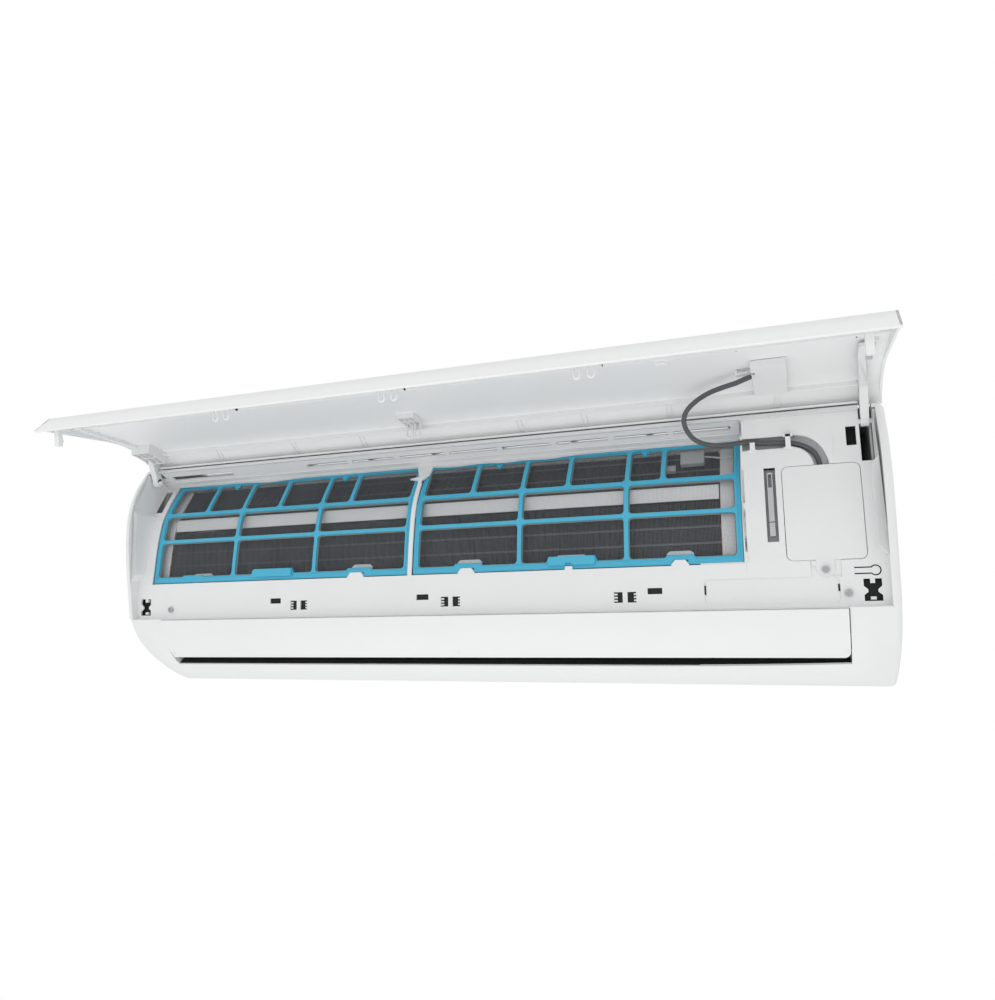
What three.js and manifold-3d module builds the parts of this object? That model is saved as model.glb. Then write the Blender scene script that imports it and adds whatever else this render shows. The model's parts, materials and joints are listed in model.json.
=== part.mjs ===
// Indoor unit of a wall-hung split air conditioner, with its front panel swung up.
// Millimetres. +X is the viewer's right, +Y goes into the wall, +Z is up.
// The origin is the middle of the wall plate's back face. Heights in this file are
// measured from the underside of the unit; the outermost group lowers them to the origin.
import * as THREE from 'three';
import { mergeVertices } from 'three/addons/utils/BufferGeometryUtils.js';
import Module from 'manifold-3d';

const wasm = await Module();
wasm.setup();

// ---------------------------------------------------------------- driving dimensions
const WIDTH = 1080; // over the end walls
const HEIGHT = 337; // underside to top grille
const WALL = 2.5; // moulded wall of housing and casing
const GAP = 0.4; // clearance between pieces that touch
const RUN = 1; // clearance round pieces that move
const TAPER = 45; // length over which the belly thins towards each end
const MARGIN = 10; // width of the end strips beside the recess for the panel

const PLATE_WIDTH = 760; // wall plate
const PLATE_HEIGHT = 250;
const PLATE_MIDDLE = 172; // height of the wall plate's middle
const PLATE_SHEET = 1.5;
const PLATE_RIM = 7;
const CASING_FLOOR = 12; // back of the casing, from the wall
const CASING_REAR = 2;
const HOUSING_REAR = 14.6; // where the front housing ends, from the wall

const RIGHT = WIDTH / 2;
const RECESS_X = RIGHT - MARGIN;
const SEAM = 103; // height of the joint between the face and the outlet
const SILL = 157; // height of the filters' bottom edge

const BOX_START = RIGHT - 163; // where the flat face over the electrical box begins
const COVER_LEFT = RIGHT - 117;
const COVER_RIGHT = RIGHT - 31;
const COVER_BOTTOM = SILL;
const COVER_TOP = HEIGHT - 68;

const FILTER_START = -RIGHT + 36.6; // left edge of the left filter
const FILTER_END = BOX_START - 2.6; // right edge of the right filter
const FILTER_BETWEEN = 7.6; // from one filter to the other
const FILTER_WIDTH = (FILTER_END - FILTER_START - FILTER_BETWEEN) / 2;
const FILTER_PITCH = FILTER_WIDTH + FILTER_BETWEEN;
const FILTER_THICK = 4;
const FILTER_RIM = 6;
const FILTER_BAR = 4;
const FILTER_FOOT = 10; // height of the filter's bottom rim
const NET_THICK = 0.8;
const NET_STRAND = 2;
const NET_COLUMNS = 9;
const NET_ROWS = [3, 2, 2]; // gaps in height behind each row of windows

const FAN_RADIUS = 50;
const FAN_Y = -84;
const FAN_Z = 116;
const FAN_LEFT = -RIGHT + 54;
const FAN_RIGHT = BOX_START - 25;
const FAN_BLADES = 14;
const FAN_DISC = 3;
const SHAFT_RADIUS = 5;

const COIL_LEFT = FAN_LEFT;
const COIL_RIGHT = FAN_RIGHT - 4;
const COIL_THICK = 26;
const TUBE_RADIUS = 3.5;
const TUBE_PITCH = 21;
const BEND_SHEET = 1.6;

const LOUVER_LEFT = -RIGHT + 65.4;
const LOUVER_RIGHT = RIGHT - 55.2;
const LOUVER_THICK = 2.6;
const LOUVER_PIVOT = [-171.5, 54];
const LOUVER_PIN = 2.5;

const VANE_COUNT = 5; // in each group
const VANE_PITCH = (FAN_RIGHT - FAN_LEFT + 2) / (2 * VANE_COUNT);
const VANE_PIVOT_Y = -148;
const VANE_PIN = 2;
const VANE_ARM = 10; // pivot to link pin
const VANE_SHEET = 1.6;
const LINK_PIN = 1.5;
const LINK_Z = 48.5;
const LINK_THICK = 2;

const HINGE = [-165, HEIGHT - 19]; // panel hinge axis
const HINGE_PIN = 3.2;
const PANEL_WALL = 3;
const PANEL_OPEN = 92.5; // degrees from closed, as it stands here
const ARM_THICK = 12;
const ARM_WIDTH = 11;
const ARM_INSET = 27; // end wall to the arm's outer face

const CABLE_DIAMETER = 6;
const CABLE_SIDES = 10;
const CABLE_STEPS = 26;

const SCREW_HEAD = 4.2;
const SCREW_SHANK = 1.9;

// ---------------------------------------------------------------- section lines (y, z), bottom to top
const spline = (points, steps) =>
  new THREE.SplineCurve(points.map(([y, z]) => new THREE.Vector2(y, z)))
    .getPoints(steps)
    .map((p) => [p.x, p.y]);

const BELLY_MIDDLE = spline([[-75, 0], [-120, 11], [-153, 27], [-176, 45], [-194, 76], [-203, SEAM]], 12);
const BELLY_END = spline([[-75, 0], [-106, 14], [-134, 31], [-160, 49], [-184, 73], [-201, SEAM]], 12);
const FRONT = spline(
  [
    [-203, SEAM], [-207, SEAM + 37], [-212, HEIGHT - 147], [-213, HEIGHT - 107], [-209, HEIGHT - 72],
    [-196, HEIGHT - 37], [-170, HEIGHT],
  ],
  14,
);
const FILTER_ROWS = [SILL, HEIGHT - 115, HEIGHT - 73, HEIGHT - 24]; // heights of the bars
const FILTER_LINE = spline([-188, -177, -163, -127].map((y, i) => [y, FILTER_ROWS[i]]), 12);
const BED = [
  [-193, SEAM],
  ...spline([[-191, SILL], [-180, HEIGHT - 115], [-166, HEIGHT - 73], [-131, HEIGHT - 22]], 12),
];
const CEILING_FRONT = [-165, HEIGHT - 5];
const BOX_FACE = [
  [-193, SEAM], [-190.5, SILL], [-183, HEIGHT - 115], [-174, HEIGHT - 67], [-168, HEIGHT - 37],
  CEILING_FRONT,
];
const PANEL_LINE = spline(
  [
    [-230.5, SEAM + 28], [-225.5, HEIGHT - 167], [-223, HEIGHT - 125], [-221.5, HEIGHT - 92],
    [-218, HEIGHT - 58], [-208.5, HEIGHT - 28], [-188.5, HEIGHT - 6],
  ],
  14,
);
const PANEL_TIP = [-207, SEAM + 1.5];
const PANEL_CHIN = [-229.5, SEAM + 24];
const PANEL_EDGE = [
  [-209, SEAM + 5], [-211, SEAM + 37], [-214, HEIGHT - 147], [-217, HEIGHT - 92], [-213, HEIGHT - 57],
  [-203, HEIGHT - 28], [-191, HEIGHT - 12],
];
const LOUVER_LINE = spline([[-174, 44], [-185.5, 57.5], [-197, 77], [-206, 101]], 8);

// ---------------------------------------------------------------- shapes
/** A line moved sideways; a positive distance goes forward, away from the wall. */
function offset(line, distance) {
  const side = ([y0, z0], [y1, z1]) => {
    const length = Math.hypot(y1 - y0, z1 - z0);
    return [-(z1 - z0) / length, (y1 - y0) / length];
  };
  return line.map((point, i) => {
    const before = side(line[Math.max(i - 1, 0)], line[Math.max(i, 1)]);
    const after = side(line[Math.min(i, line.length - 2)], line[Math.min(i + 1, line.length - 1)]);
    const mitre = distance / (1 + before[0] * after[0] + before[1] * after[1]);
    return [point[0] + (before[0] + after[0]) * mitre, point[1] + (before[1] + after[1]) * mitre];
  });
}

/** The closed outline between two offsets of a line. */
const strip = (line, back, front) => [...offset(line, front), ...offset(line, back).reverse()];

/** The depth of a line at a height. */
function depthAt(line, z) {
  const i = Math.min(Math.max(line.findIndex((p) => p[1] > z), 1), line.length - 1);
  const [y0, z0] = line[i - 1];
  const [y1, z1] = line[i];
  return y0 + ((y1 - y0) * (z - z0)) / (z1 - z0);
}

/** The stretch of a line between two heights. */
const portion = (line, low, high) => [
  [depthAt(line, low), low],
  ...line.filter(([, z]) => z > low + 0.5 && z < high - 0.5),
  [depthAt(line, high), high],
];

/** A closed geometry as a solid that can be cut and joined. */
function solid(geometry) {
  geometry.deleteAttribute('normal');
  geometry.deleteAttribute('uv');
  const merged = mergeVertices(geometry, 1e-4);
  return new wasm.Manifold(
    new wasm.Mesh({
      numProp: 3,
      vertProperties: new Float32Array(merged.attributes.position.array),
      triVerts: new Uint32Array(merged.index.array),
    }),
  );
}

const join = (first, ...others) => others.reduce((a, b) => a.add(b), first);
const cut = (first, ...others) => others.reduce((a, b) => a.subtract(b), first);

function block(x0, x1, y0, y1, z0, z1) {
  const box = new THREE.BoxGeometry(x1 - x0, y1 - y0, z1 - z0);
  return solid(box.translate((x0 + x1) / 2, (y0 + y1) / 2, (z0 + z1) / 2));
}

function extrusion(outline, depth) {
  const shape = new THREE.Shape(outline.map(([u, v]) => new THREE.Vector2(u, v)));
  return new THREE.ExtrudeGeometry(shape, { depth, bevelEnabled: false });
}

/** An outline in (y, z) carried from x0 to x1. */
function alongX(outline, x0, x1) {
  const turn = new THREE.Matrix4().set(0, 0, 1, x0, 1, 0, 0, 0, 0, 1, 0, 0, 0, 0, 0, 1);
  return solid(extrusion(outline, x1 - x0).applyMatrix4(turn));
}

/** An outline in (x, z) carried from y1 forward to y0. */
function alongY(outline, y0, y1) {
  const turn = new THREE.Matrix4().set(1, 0, 0, 0, 0, 0, -1, y1, 0, 1, 0, 0, 0, 0, 0, 1);
  return solid(extrusion(outline, y1 - y0).applyMatrix4(turn));
}

function rod(radius, from, to, sides = 16) {
  const a = new THREE.Vector3(...from);
  const b = new THREE.Vector3(...to);
  const along = b.clone().sub(a);
  const up = new THREE.Vector3(0, 1, 0);
  const turn = new THREE.Quaternion().setFromUnitVectors(up, along.clone().normalize());
  const cylinder = new THREE.CylinderGeometry(radius, radius, along.length(), sides);
  return solid(cylinder.applyQuaternion(turn).translate(...a.add(b).multiplyScalar(0.5).toArray()));
}

/** A round tube of one diameter along a smooth route. */
function hose(points, radius, sides, steps) {
  const route = new THREE.CatmullRomCurve3(points.map((p) => new THREE.Vector3(...p)));
  const section = new THREE.Shape();
  for (let i = 0; i < sides; i += 1) {
    const angle = (2 * Math.PI * i) / sides;
    const move = i === 0 ? 'moveTo' : 'lineTo';
    section[move](radius * Math.cos(angle), radius * Math.sin(angle));
  }
  return new THREE.ExtrudeGeometry(section, { extrudePath: route, steps, bevelEnabled: false });
}

/** Rings of (y, z) points at several x, skinned into one closed body. */
function loftX(rings, places) {
  const count = rings[0].length;
  const positions = rings.flatMap((ring, i) => ring.flatMap(([y, z]) => [places[i], y, z]));
  const index = [];
  for (let i = 0; i < rings.length - 1; i += 1) {
    for (let j = 0; j < count; j += 1) {
      const a = i * count + j;
      const b = i * count + ((j + 1) % count);
      index.push(a, a + count, b, b, a + count, b + count);
    }
  }
  const flat = (ring) => ring.map(([y, z]) => new THREE.Vector2(y, z));
  const cap = (ring) => THREE.ShapeUtils.triangulateShape(flat(ring), []);
  const last = (rings.length - 1) * count;
  for (const [a, b, c] of cap(rings[0])) index.push(a, c, b);
  for (const [a, b, c] of cap(rings[rings.length - 1])) index.push(last + a, last + b, last + c);
  const geometry = new THREE.BufferGeometry();
  geometry.setAttribute('position', new THREE.Float32BufferAttribute(positions, 3));
  geometry.setIndex(index);
  return solid(geometry);
}

const finish = (color, roughness, metalness = 0) =>
  new THREE.MeshStandardMaterial({ color, roughness, metalness });

const PAINT = {
  white: () => finish(0xeeefef, 0.38),
  shell: () => finish(0xe2e3e4, 0.5),
  cyan: () => finish(0x3aa9cf, 0.35),
  net: () => finish(0x5a5c60, 0.8),
  fins: () => finish(0x9aa0a6, 0.4, 0.9),
  steel: () => finish(0xb4b8bb, 0.35, 1),
  copper: () => finish(0xb87348, 0.3, 1),
  brass: () => finish(0xc2a35a, 0.3, 1),
  black: () => finish(0x2a2b2d, 0.5),
  rubber: () => finish(0x3a3a3b, 0.9),
  lead: () => finish(0x4c4d50, 0.55),
  board: () => finish(0x2d6b45, 0.6),
  milky: () => finish(0xb9bcbd, 0.35),
  grey: () => finish(0x8d9093, 0.5),
};

const unit = new THREE.Group();
unit.position.z = -PLATE_MIDDLE;
const panel = new THREE.Group();
panel.position.set(0, HINGE[0], HINGE[1]);
panel.rotation.x = -THREE.MathUtils.degToRad(PANEL_OPEN);
const closedPanel = new THREE.Group(); // its children are drawn where the closed panel has them
closedPanel.position.set(0, -HINGE[0], -HINGE[1]);
panel.add(closedPanel);
unit.add(panel);

function place(name, body, paint, group = unit) {
  const { vertProperties, triVerts } = body.getMesh();
  const geometry = new THREE.BufferGeometry();
  geometry.setAttribute('position', new THREE.BufferAttribute(new Float32Array(vertProperties), 3));
  geometry.setIndex(new THREE.BufferAttribute(new Uint32Array(triVerts), 1));
  addMesh(name, geometry, paint, group);
}

function addMesh(name, geometry, paint, group = unit) {
  const mesh = new THREE.Mesh(geometry, paint());
  mesh.name = name;
  group.add(mesh);
}

const inOrder = (a, b) => [Math.min(a, b), Math.max(a, b)];

/** Runs a maker for the left side (-1) and the right side (1). */
const bothSides = (make) => [-1, 1].map(make);

// ---------------------------------------------------------------- wall plate and rear casing
function wallPlate() {
  const low = PLATE_MIDDLE - PLATE_HEIGHT / 2;
  const high = PLATE_MIDDLE + PLATE_HEIGHT / 2;
  const half = PLATE_WIDTH / 2;
  const sheet = block(-half, half, -PLATE_SHEET, 0, low, high);
  const rims = [
    block(-half, half, -PLATE_RIM, 0, low, low + PLATE_SHEET),
    block(-half, half, -PLATE_RIM, 0, high - PLATE_SHEET, high),
  ];
  const holes = [];
  for (const x of [-1, -1 / 3, 1 / 3, 1].map((share) => share * (half - 80))) {
    for (const z of [low + 35, high - 35]) {
      holes.push(rod(3, [x, -PLATE_SHEET - 1, z], [x, 1, z], 8));
    }
  }
  const windows = bothSides((side) =>
    block(side * 150 - 90, side * 150 + 90, -9, 1, PLATE_MIDDLE - 28, PLATE_MIDDLE + 28));
  return cut(join(sheet, ...rims), ...holes, ...windows);
}

/** Angle (degrees from straight back, over the top) and radius round the fan, as a point. */
function roundFan(angle, radius) {
  const a = THREE.MathUtils.degToRad(angle);
  return [FAN_Y + radius * Math.cos(a), FAN_Z + radius * Math.sin(a)];
}

const SCROLL_FROM = 70;
const SCROLL_TO = -100;
const SCROLL_STEPS = 14;
const OUTLET_FLOOR_END = [-150, 43];
const DUCT_LEFT = FAN_LEFT - 20; // end walls of the fan chamber
const DUCT_RIGHT = FAN_RIGHT + 18;

/** The wall behind the fan, top to bottom: its gap opens steadily towards the outlet. */
function scrollLine() {
  const line = [];
  for (let i = 0; i <= SCROLL_STEPS; i += 1) {
    const t = i / SCROLL_STEPS;
    line.push(roundFan(SCROLL_FROM + (SCROLL_TO - SCROLL_FROM) * t, FAN_RADIUS + 6 + 9 * t));
  }
  return line;
}

/** Back shell: floor against the wall plate, scroll behind the fan and the chamber's end walls. */
function rearCasing() {
  const wide = RIGHT - WALL - RUN;
  const back = block(-wide, wide, GAP - HOUSING_REAR, -CASING_REAR, 0, HEIGHT - WALL - RUN);
  const pocket = block(
    -PLATE_WIDTH / 2 - 3, PLATE_WIDTH / 2 + 3, 2 - CASING_FLOOR, 1,
    PLATE_MIDDLE - PLATE_HEIGHT / 2 - 3, PLATE_MIDDLE + PLATE_HEIGHT / 2 + 3,
  );
  const base = block(-wide, wide, -60, -CASING_REAR, 0, WALL);
  const troughFloor = HEIGHT - 132;
  const rearTrough = [
    [-13, troughFloor], [-56, troughFloor], [-56, troughFloor + 15], [-56 - WALL, troughFloor + 15],
    [-56 - WALL, troughFloor - WALL], [-13, troughFloor - WALL],
  ];
  const skinLine = [[-56 - WALL, troughFloor - 2], ...scrollLine(), OUTLET_FLOOR_END];
  const skin = alongX(strip(skinLine, 0, WALL), DUCT_LEFT, DUCT_RIGHT);
  const trough = alongX(rearTrough, DUCT_LEFT, DUCT_RIGHT);
  const wallOutline = [
    [-13, troughFloor + 10], [-60, troughFloor + 10], [-140, 150], [-140, 106], [-150, 104], [-150, 43],
    [-96, 43], [-13, 60],
  ];
  const ends = [[DUCT_LEFT, DUCT_LEFT + WALL], [DUCT_RIGHT - WALL, DUCT_RIGHT]].map(([x0, x1]) =>
    cut(alongX(wallOutline, x0, x1), rod(SHAFT_RADIUS + 3, [x0 - 1, FAN_Y, FAN_Z], [x1 + 1, FAN_Y, FAN_Z])));
  return join(cut(back, pocket), base, skin, trough, ...ends);
}

// ---------------------------------------------------------------- front housing
const OPENING = { gap: 0.8, slope: 0.75 }; // round a filter; the sill slopes as the filter slides

/** Left edge of a filter: 0 is the left one, 1 the right one. */
const filterLeft = (which) => FILTER_START + FILTER_PITCH * which;

function filterOpening(which) {
  const x0 = filterLeft(which) - OPENING.gap;
  const x1 = filterLeft(which) + FILTER_WIDTH + OPENING.gap;
  const [foot] = FILTER_LINE;
  const back = foot[0] + FILTER_THICK + 3;
  const sill = foot[1] - OPENING.gap;
  const reach = 30;
  const outline = [
    [back + 60, sill], [back, sill], [back - reach, sill - reach * OPENING.slope],
    [-260, 200], [-260, HEIGHT - 21], [-60, HEIGHT - 21],
  ];
  return alongX(outline, x0, x1);
}

const LIP = [-162, 32.5]; // upper edge of the belly under the louver

function outletOpening() {
  const [y, z] = LIP;
  const outline = [
    [-260, SEAM - 1], [-260, 0], [y - 28, z - 18], LIP, [y + 11.5, z + 9], [-60, z + 9], [-60, SEAM - 1],
  ];
  return alongX(outline, LOUVER_LEFT - RUN, LOUVER_RIGHT + RUN);
}

/** Even slots of a grille from one x to another, with a rib between two slots. */
function slotPlaces(from, to) {
  const pitch = (to - from + GRILLE_RIB) / GRILLE_COLUMNS;
  const lefts = Array.from({ length: GRILLE_COLUMNS }, (_, i) => from + i * pitch);
  return lefts.map((x) => [x, x + pitch - GRILLE_RIB]);
}

const GRILLE_COLUMNS = 8;
const GRILLE_RIB = 8;
const GRILLE_ROWS = [-140, -111, -82, -53]; // front edges of the rows

/** Rows of slots through the top; the fan draws the room's air in there. */
const topGrille = () => GRILLE_ROWS.flatMap((y) =>
  slotPlaces(FAN_LEFT + 6, FAN_RIGHT + 8).map(([x0, x1]) =>
    block(x0, x1, y, y + 18, HEIGHT - WALL - 1, HEIGHT + 1)));

/** A row of air slots in the slope above the filters. */
const ceilingGrille = () => slotPlaces(-250, BOX_START - 11).map(([x0, x1]) =>
  block(x0, x1, -156, -150, HEIGHT - 30, HEIGHT - WALL - 0.5));

const LATCH_X = [-RIGHT + 26, RIGHT - 28];
const CLIP_X = [-240, -4, 231];
const SLOT_X = [-279, -45, 268];
const FACE_Y = -193; // the upright face under the filters

function faceSlots() {
  const through = (x0, x1, z0, z1) => block(x0, x1, FACE_Y - 2, FACE_Y + 8, z0, z1);
  return [
    ...LATCH_X.map((x) => through(x - 7, x + 7, 112, 130)),
    ...CLIP_X.flatMap((x) => [through(x - 12, x - 4, 113, 126), through(x + 4, x + 12, 113, 126)]),
    ...SLOT_X.map((x) => through(x - 9, x + 9, 123, 130)),
    through(BUTTON_LEFT - 0.8, BUTTON_RIGHT + 0.8, BUTTON_Z - 6.3, BUTTON_Z + 6.3),
  ];
}

const CHANNEL_FLOOR = -162.3;

/** Groove in the face for the display lead, from the cover up and over to the left. */
function cableChannel() {
  const top = HEIGHT - 29;
  const outline = [
    [BOX_START - 5, top], [COVER_LEFT + 17, top], [COVER_LEFT + 39, top - 5], [COVER_LEFT + 52, top - 20],
    [COVER_LEFT + 54, COVER_TOP - 4], [COVER_LEFT + 35, COVER_TOP - 4], [COVER_LEFT + 33, top - 26],
    [COVER_LEFT + 23, top - 17], [COVER_LEFT + 7, top - 15], [BOX_START - 5, top - 15],
  ];
  return alongY(outline, -210, CHANNEL_FLOOR);
}

/** The wall behind the groove, so that the groove has a floor. */
function channelBacking() {
  const top = HEIGHT - 26;
  const outline = [
    [BOX_START + WALL, top], [COVER_LEFT + 18, top], [COVER_LEFT + 41, top - 5], [COVER_LEFT + 55, top - 21],
    [COVER_LEFT + 57, COVER_TOP + 3], [COVER_LEFT + 31, COVER_TOP + 3], [COVER_LEFT + 30, top - 30],
    [COVER_LEFT + 21, top - 23], [COVER_LEFT + 6, top - 21], [BOX_START + WALL, top - 21],
  ];
  const beforeFace = alongX([[-260, 100], ...BOX_FACE, [-260, HEIGHT]], BOX_START - 7, RIGHT);
  return cut(alongY(outline, -172, CHANNEL_FLOOR + 2), beforeFace);
}

const armX = (side) => side * (RIGHT - ARM_INSET + ARM_THICK / 2);

/** Slot in the top front edge that a hinge arm swings up through. */
function armSlot(side) {
  const x = armX(side);
  const half = ARM_THICK / 2 + RUN;
  return join(
    block(x - half, x + half, HINGE[0] - 20, HINGE[0] + 12, HINGE[1] - 12, HEIGHT + 1),
    block(x - half, x + half, HINGE[0] - 20, HINGE[0] + 30, HINGE[1] - 48, HINGE[1] - 12),
  );
}

/** Lug and pin that a hinge arm turns on, grown from the recess's end wall. */
function hingePin(side) {
  const inner = armX(side) - side * (ARM_THICK / 2 + RUN + 1);
  return rod(HINGE_PIN, [inner, ...HINGE], [side * (RECESS_X + WALL / 2), ...HINGE], 16);
}

const SCREWS = { left: [-RIGHT + 74.3, 117], right: [RIGHT - 53.6, 118.7] };

function frontHousing() {
  const rear = -HOUSING_REAR;
  const middle = [...BELLY_MIDDLE, ...FRONT.slice(1), [rear, HEIGHT], [rear, 0]];
  const end = [...BELLY_END, ...FRONT.slice(1), [rear, HEIGHT], [rear, 0]];
  const outer = loftX([end, middle, middle, end], [-RIGHT, -RIGHT + TAPER, RIGHT - TAPER, RIGHT]);
  const hollow = (belly, front) => [
    ...offset(belly, -WALL).slice(0, -1).map(([y, z]) => [y, Math.max(z, WALL)]),
    ...offset(front, -WALL).slice(0, -1),
    [front[front.length - 1][0] + WALL, HEIGHT - WALL],
    [1, HEIGHT - WALL],
    [1, WALL],
  ];
  const inside = RIGHT - WALL;
  const bedBack = [...BED, CEILING_FRONT];
  const behindBed = hollow(BELLY_MIDDLE, bedBack);
  const behindBedEnd = hollow(BELLY_END, bedBack);
  const behindBox = hollow(BELLY_MIDDLE, BOX_FACE);
  const behindEnd = hollow(BELLY_END, FRONT);
  const cavities = [
    loftX(
      [behindBedEnd, behindBed, behindBed, behindBedEnd],
      [-inside, -RIGHT + TAPER, RIGHT - TAPER, inside],
    ),
    loftX(
      [behindBox, behindBox, hollow(BELLY_END, BOX_FACE)],
      [BOX_START + WALL, RIGHT - TAPER, inside],
    ),
    ...bothSides((side) => alongX(behindEnd, ...inOrder(side * inside, side * (RECESS_X + WALL)))),
  ];
  const openFront = [[-300, HEIGHT - 5], [-300, SEAM]];
  const recesses = [
    alongX([...BED, CEILING_FRONT, ...openFront], -RECESS_X, BOX_START),
    alongX([...BOX_FACE, ...openFront], BOX_START, RECESS_X),
  ];
  const coverWindow = block(
    COVER_LEFT - 0.6, COVER_RIGHT + 0.6, -260, -140, COVER_BOTTOM - 0.6, COVER_TOP + 0.6,
  );
  const sensorSlot = block(SENSOR_LEFT - 3, SENSOR_RIGHT + 3, -200, -160, SENSOR_LOW - 4, SENSOR_HIGH + 4);
  const floor = block(-RIGHT, RIGHT, -60 - GAP, 0, -1, WALL + 0.5);
  const lipOutline = [
    [LIP[0] + 0.4, LIP[1] + 0.4], [LIP[0] + 10.5, LIP[1] + 8.4], [LIP[0] + 10.5, LIP[1] + 5.9],
    [LIP[0] + 4.5, LIP[1] - 1],
  ];
  const lip = alongX(lipOutline, LOUVER_LEFT - RUN - 1, LOUVER_RIGHT + RUN + 1);
  const screwHoles = Object.values(SCREWS).map(([x, z]) =>
    rod(SCREW_SHANK + 0.5, [x, FACE_Y - 5, z], [x, FACE_Y + 9, z], 12));
  const body = join(
    cut(outer, ...recesses, ...cavities, filterOpening(0), filterOpening(1), outletOpening(), floor),
    lip, channelBacking(), ...bothSides(outletCheek), ...bothSides(hingePin),
  );
  return cut(
    body, coverWindow, sensorSlot, cableChannel(), ...topGrille(), ...ceilingGrille(), ...faceSlots(),
    ...screwHoles, ...bothSides((side) => cut(armSlot(side), hingePin(side))), ...CAP_X.map(capWindow),
    coverScrewHole(), ...bothSides(cheekHole),
  );
}

const cheekSpan = (side) => (side < 0
  ? [LOUVER_LEFT - RUN - WALL, LOUVER_LEFT - RUN]
  : [LOUVER_RIGHT + RUN, LOUVER_RIGHT + RUN + WALL]);

/** End wall of the air outlet, which carries the louver's pin. */
function outletCheek(side) {
  const outline = [
    [-150, 38], [LIP[0] - 1, LIP[1] + 0.5], [-173, 44], [-192, 78], [-200, 101], [-191, SEAM + 2],
    [-150, SEAM + 2],
  ];
  return alongX(outline, ...cheekSpan(side));
}

const cheekHole = (side) => {
  const [x0, x1] = cheekSpan(side);
  return rod(LOUVER_PIN + 0.5, [x0 - 1, ...LOUVER_PIVOT], [x1 + 1, ...LOUVER_PIVOT], 16);
};

const CAP_X = [-280, 298];
const CAP_LOW = 19;
const CAP_HIGH = 28;
const CAP_HALF = 11; // half the cap's width

function capWindow(x) {
  const line = portion(BELLY_MIDDLE, CAP_LOW, CAP_HIGH);
  return alongX(strip(line, -WALL - 2, 3), x - CAP_HALF, x + CAP_HALF);
}

function screwCap(x) {
  const line = portion(BELLY_MIDDLE, CAP_LOW + GAP, CAP_HIGH - GAP);
  return alongX(strip(line, -WALL, 0.3), x - CAP_HALF + GAP, x + CAP_HALF - GAP);
}

/** A pan-head screw that points into the wall; its head rests on a face at depth y. */
function screw(x, y, z, length) {
  const head = rod(SCREW_HEAD, [x, y - 2.4, z], [x, y - GAP, z], 20);
  const shank = rod(SCREW_SHANK, [x, y - 1, z], [x, y + length, z], 10);
  const cross = [[3, 0.5], [0.5, 3]].map(([a, b]) => block(x - a, x + a, y - 3, y - 1.4, z - b, z + b));
  return cut(join(head, shank), ...cross);
}

// ---------------------------------------------------------------- electrical compartment
const SENSOR_LEFT = COVER_LEFT - 17.4;
const SENSOR_RIGHT = SENSOR_LEFT + 6.8;
const SENSOR_LOW = COVER_BOTTOM + 30;
const SENSOR_HIGH = COVER_TOP - 5;
const BUTTON_LEFT = COVER_RIGHT - 29;
const BUTTON_RIGHT = COVER_RIGHT;
const BUTTON_Z = 140.5;
const BOX_LEFT = COVER_LEFT - 23;
const BOX_RIGHT = COVER_RIGHT + 17;
const BOX_LOW = COVER_BOTTOM + 15;
const BOX_HIGH = HEIGHT - 17;
const BOX_BACK = -HOUSING_REAR - GAP;
const TAB_X = [COVER_LEFT + 31, COVER_LEFT + 51];
const TAB_LOW = 139;
const COVER_SCREW = [COVER_LEFT + 41, 146];
const coverY = depthAt(BOX_FACE, COVER_SCREW[1]);

function coverScrewHole() {
  const [x, z] = COVER_SCREW;
  return rod(SCREW_SHANK + 0.5, [x, -210, z], [x, -180, z], 12);
}

function electricalCover() {
  const face = alongX(strip(portion(BOX_FACE, COVER_BOTTOM, COVER_TOP), -WALL, 0), COVER_LEFT, COVER_RIGHT);
  const tab = alongX(strip(portion(BOX_FACE, TAB_LOW, COVER_BOTTOM + 6), GAP, 2), ...TAB_X);
  const bridge = alongX(strip(portion(BOX_FACE, COVER_BOTTOM + 1, COVER_BOTTOM + 6), -1, 1.9), ...TAB_X);
  return cut(join(face, tab, bridge), coverScrewHole());
}

/** Flame-proof inner box, open to the front. */
function electricalBox() {
  const rim = offset(portion(BOX_FACE, BOX_LOW, BOX_HIGH), -11);
  const outline = [...rim, [BOX_BACK, BOX_HIGH], [BOX_BACK, BOX_LOW]];
  const inner = [
    [-230, BOX_LOW + WALL], [-230, BOX_HIGH - WALL],
    [BOX_BACK - WALL, BOX_HIGH - WALL], [BOX_BACK - WALL, BOX_LOW + WALL],
  ];
  return cut(alongX(outline, BOX_LEFT, BOX_RIGHT), alongX(inner, BOX_LEFT + WALL, BOX_RIGHT - WALL));
}

function circuitBoard() {
  const y = BOX_BACK - WALL - 12;
  const board = block(BOX_LEFT + 6, BOX_RIGHT - 6, y - 1.6, y, BOX_LOW + 8, BOX_HIGH - 14);
  const studs = [[BOX_LEFT + 12, BOX_LOW + 16], [BOX_RIGHT - 12, BOX_HIGH - 20]].map(([x, z]) =>
    rod(3, [x, y - 0.5, z], [x, BOX_BACK - WALL - GAP, z], 8));
  const chip = (x, wide, deep, z, high) =>
    block(BOX_LEFT + x, BOX_LEFT + x + wide, y - 1.6 - deep, y - 1, z, z + high);
  const chips = [
    chip(15, 30, 24, BOX_LOW + 18, 32), chip(52, 26, 18, BOX_LOW + 16, 16),
    chip(86, 20, 30, BOX_LOW + 24, 20), chip(18, 18, 14, BOX_LOW + 64, 18),
    chip(48, 52, 9, BOX_LOW + 68, 22), chip(20, 32, 16, BOX_HIGH - 48, 24),
    chip(70, 16, 22, BOX_HIGH - 46, 16),
  ];
  return join(board, ...studs, ...chips);
}

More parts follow.
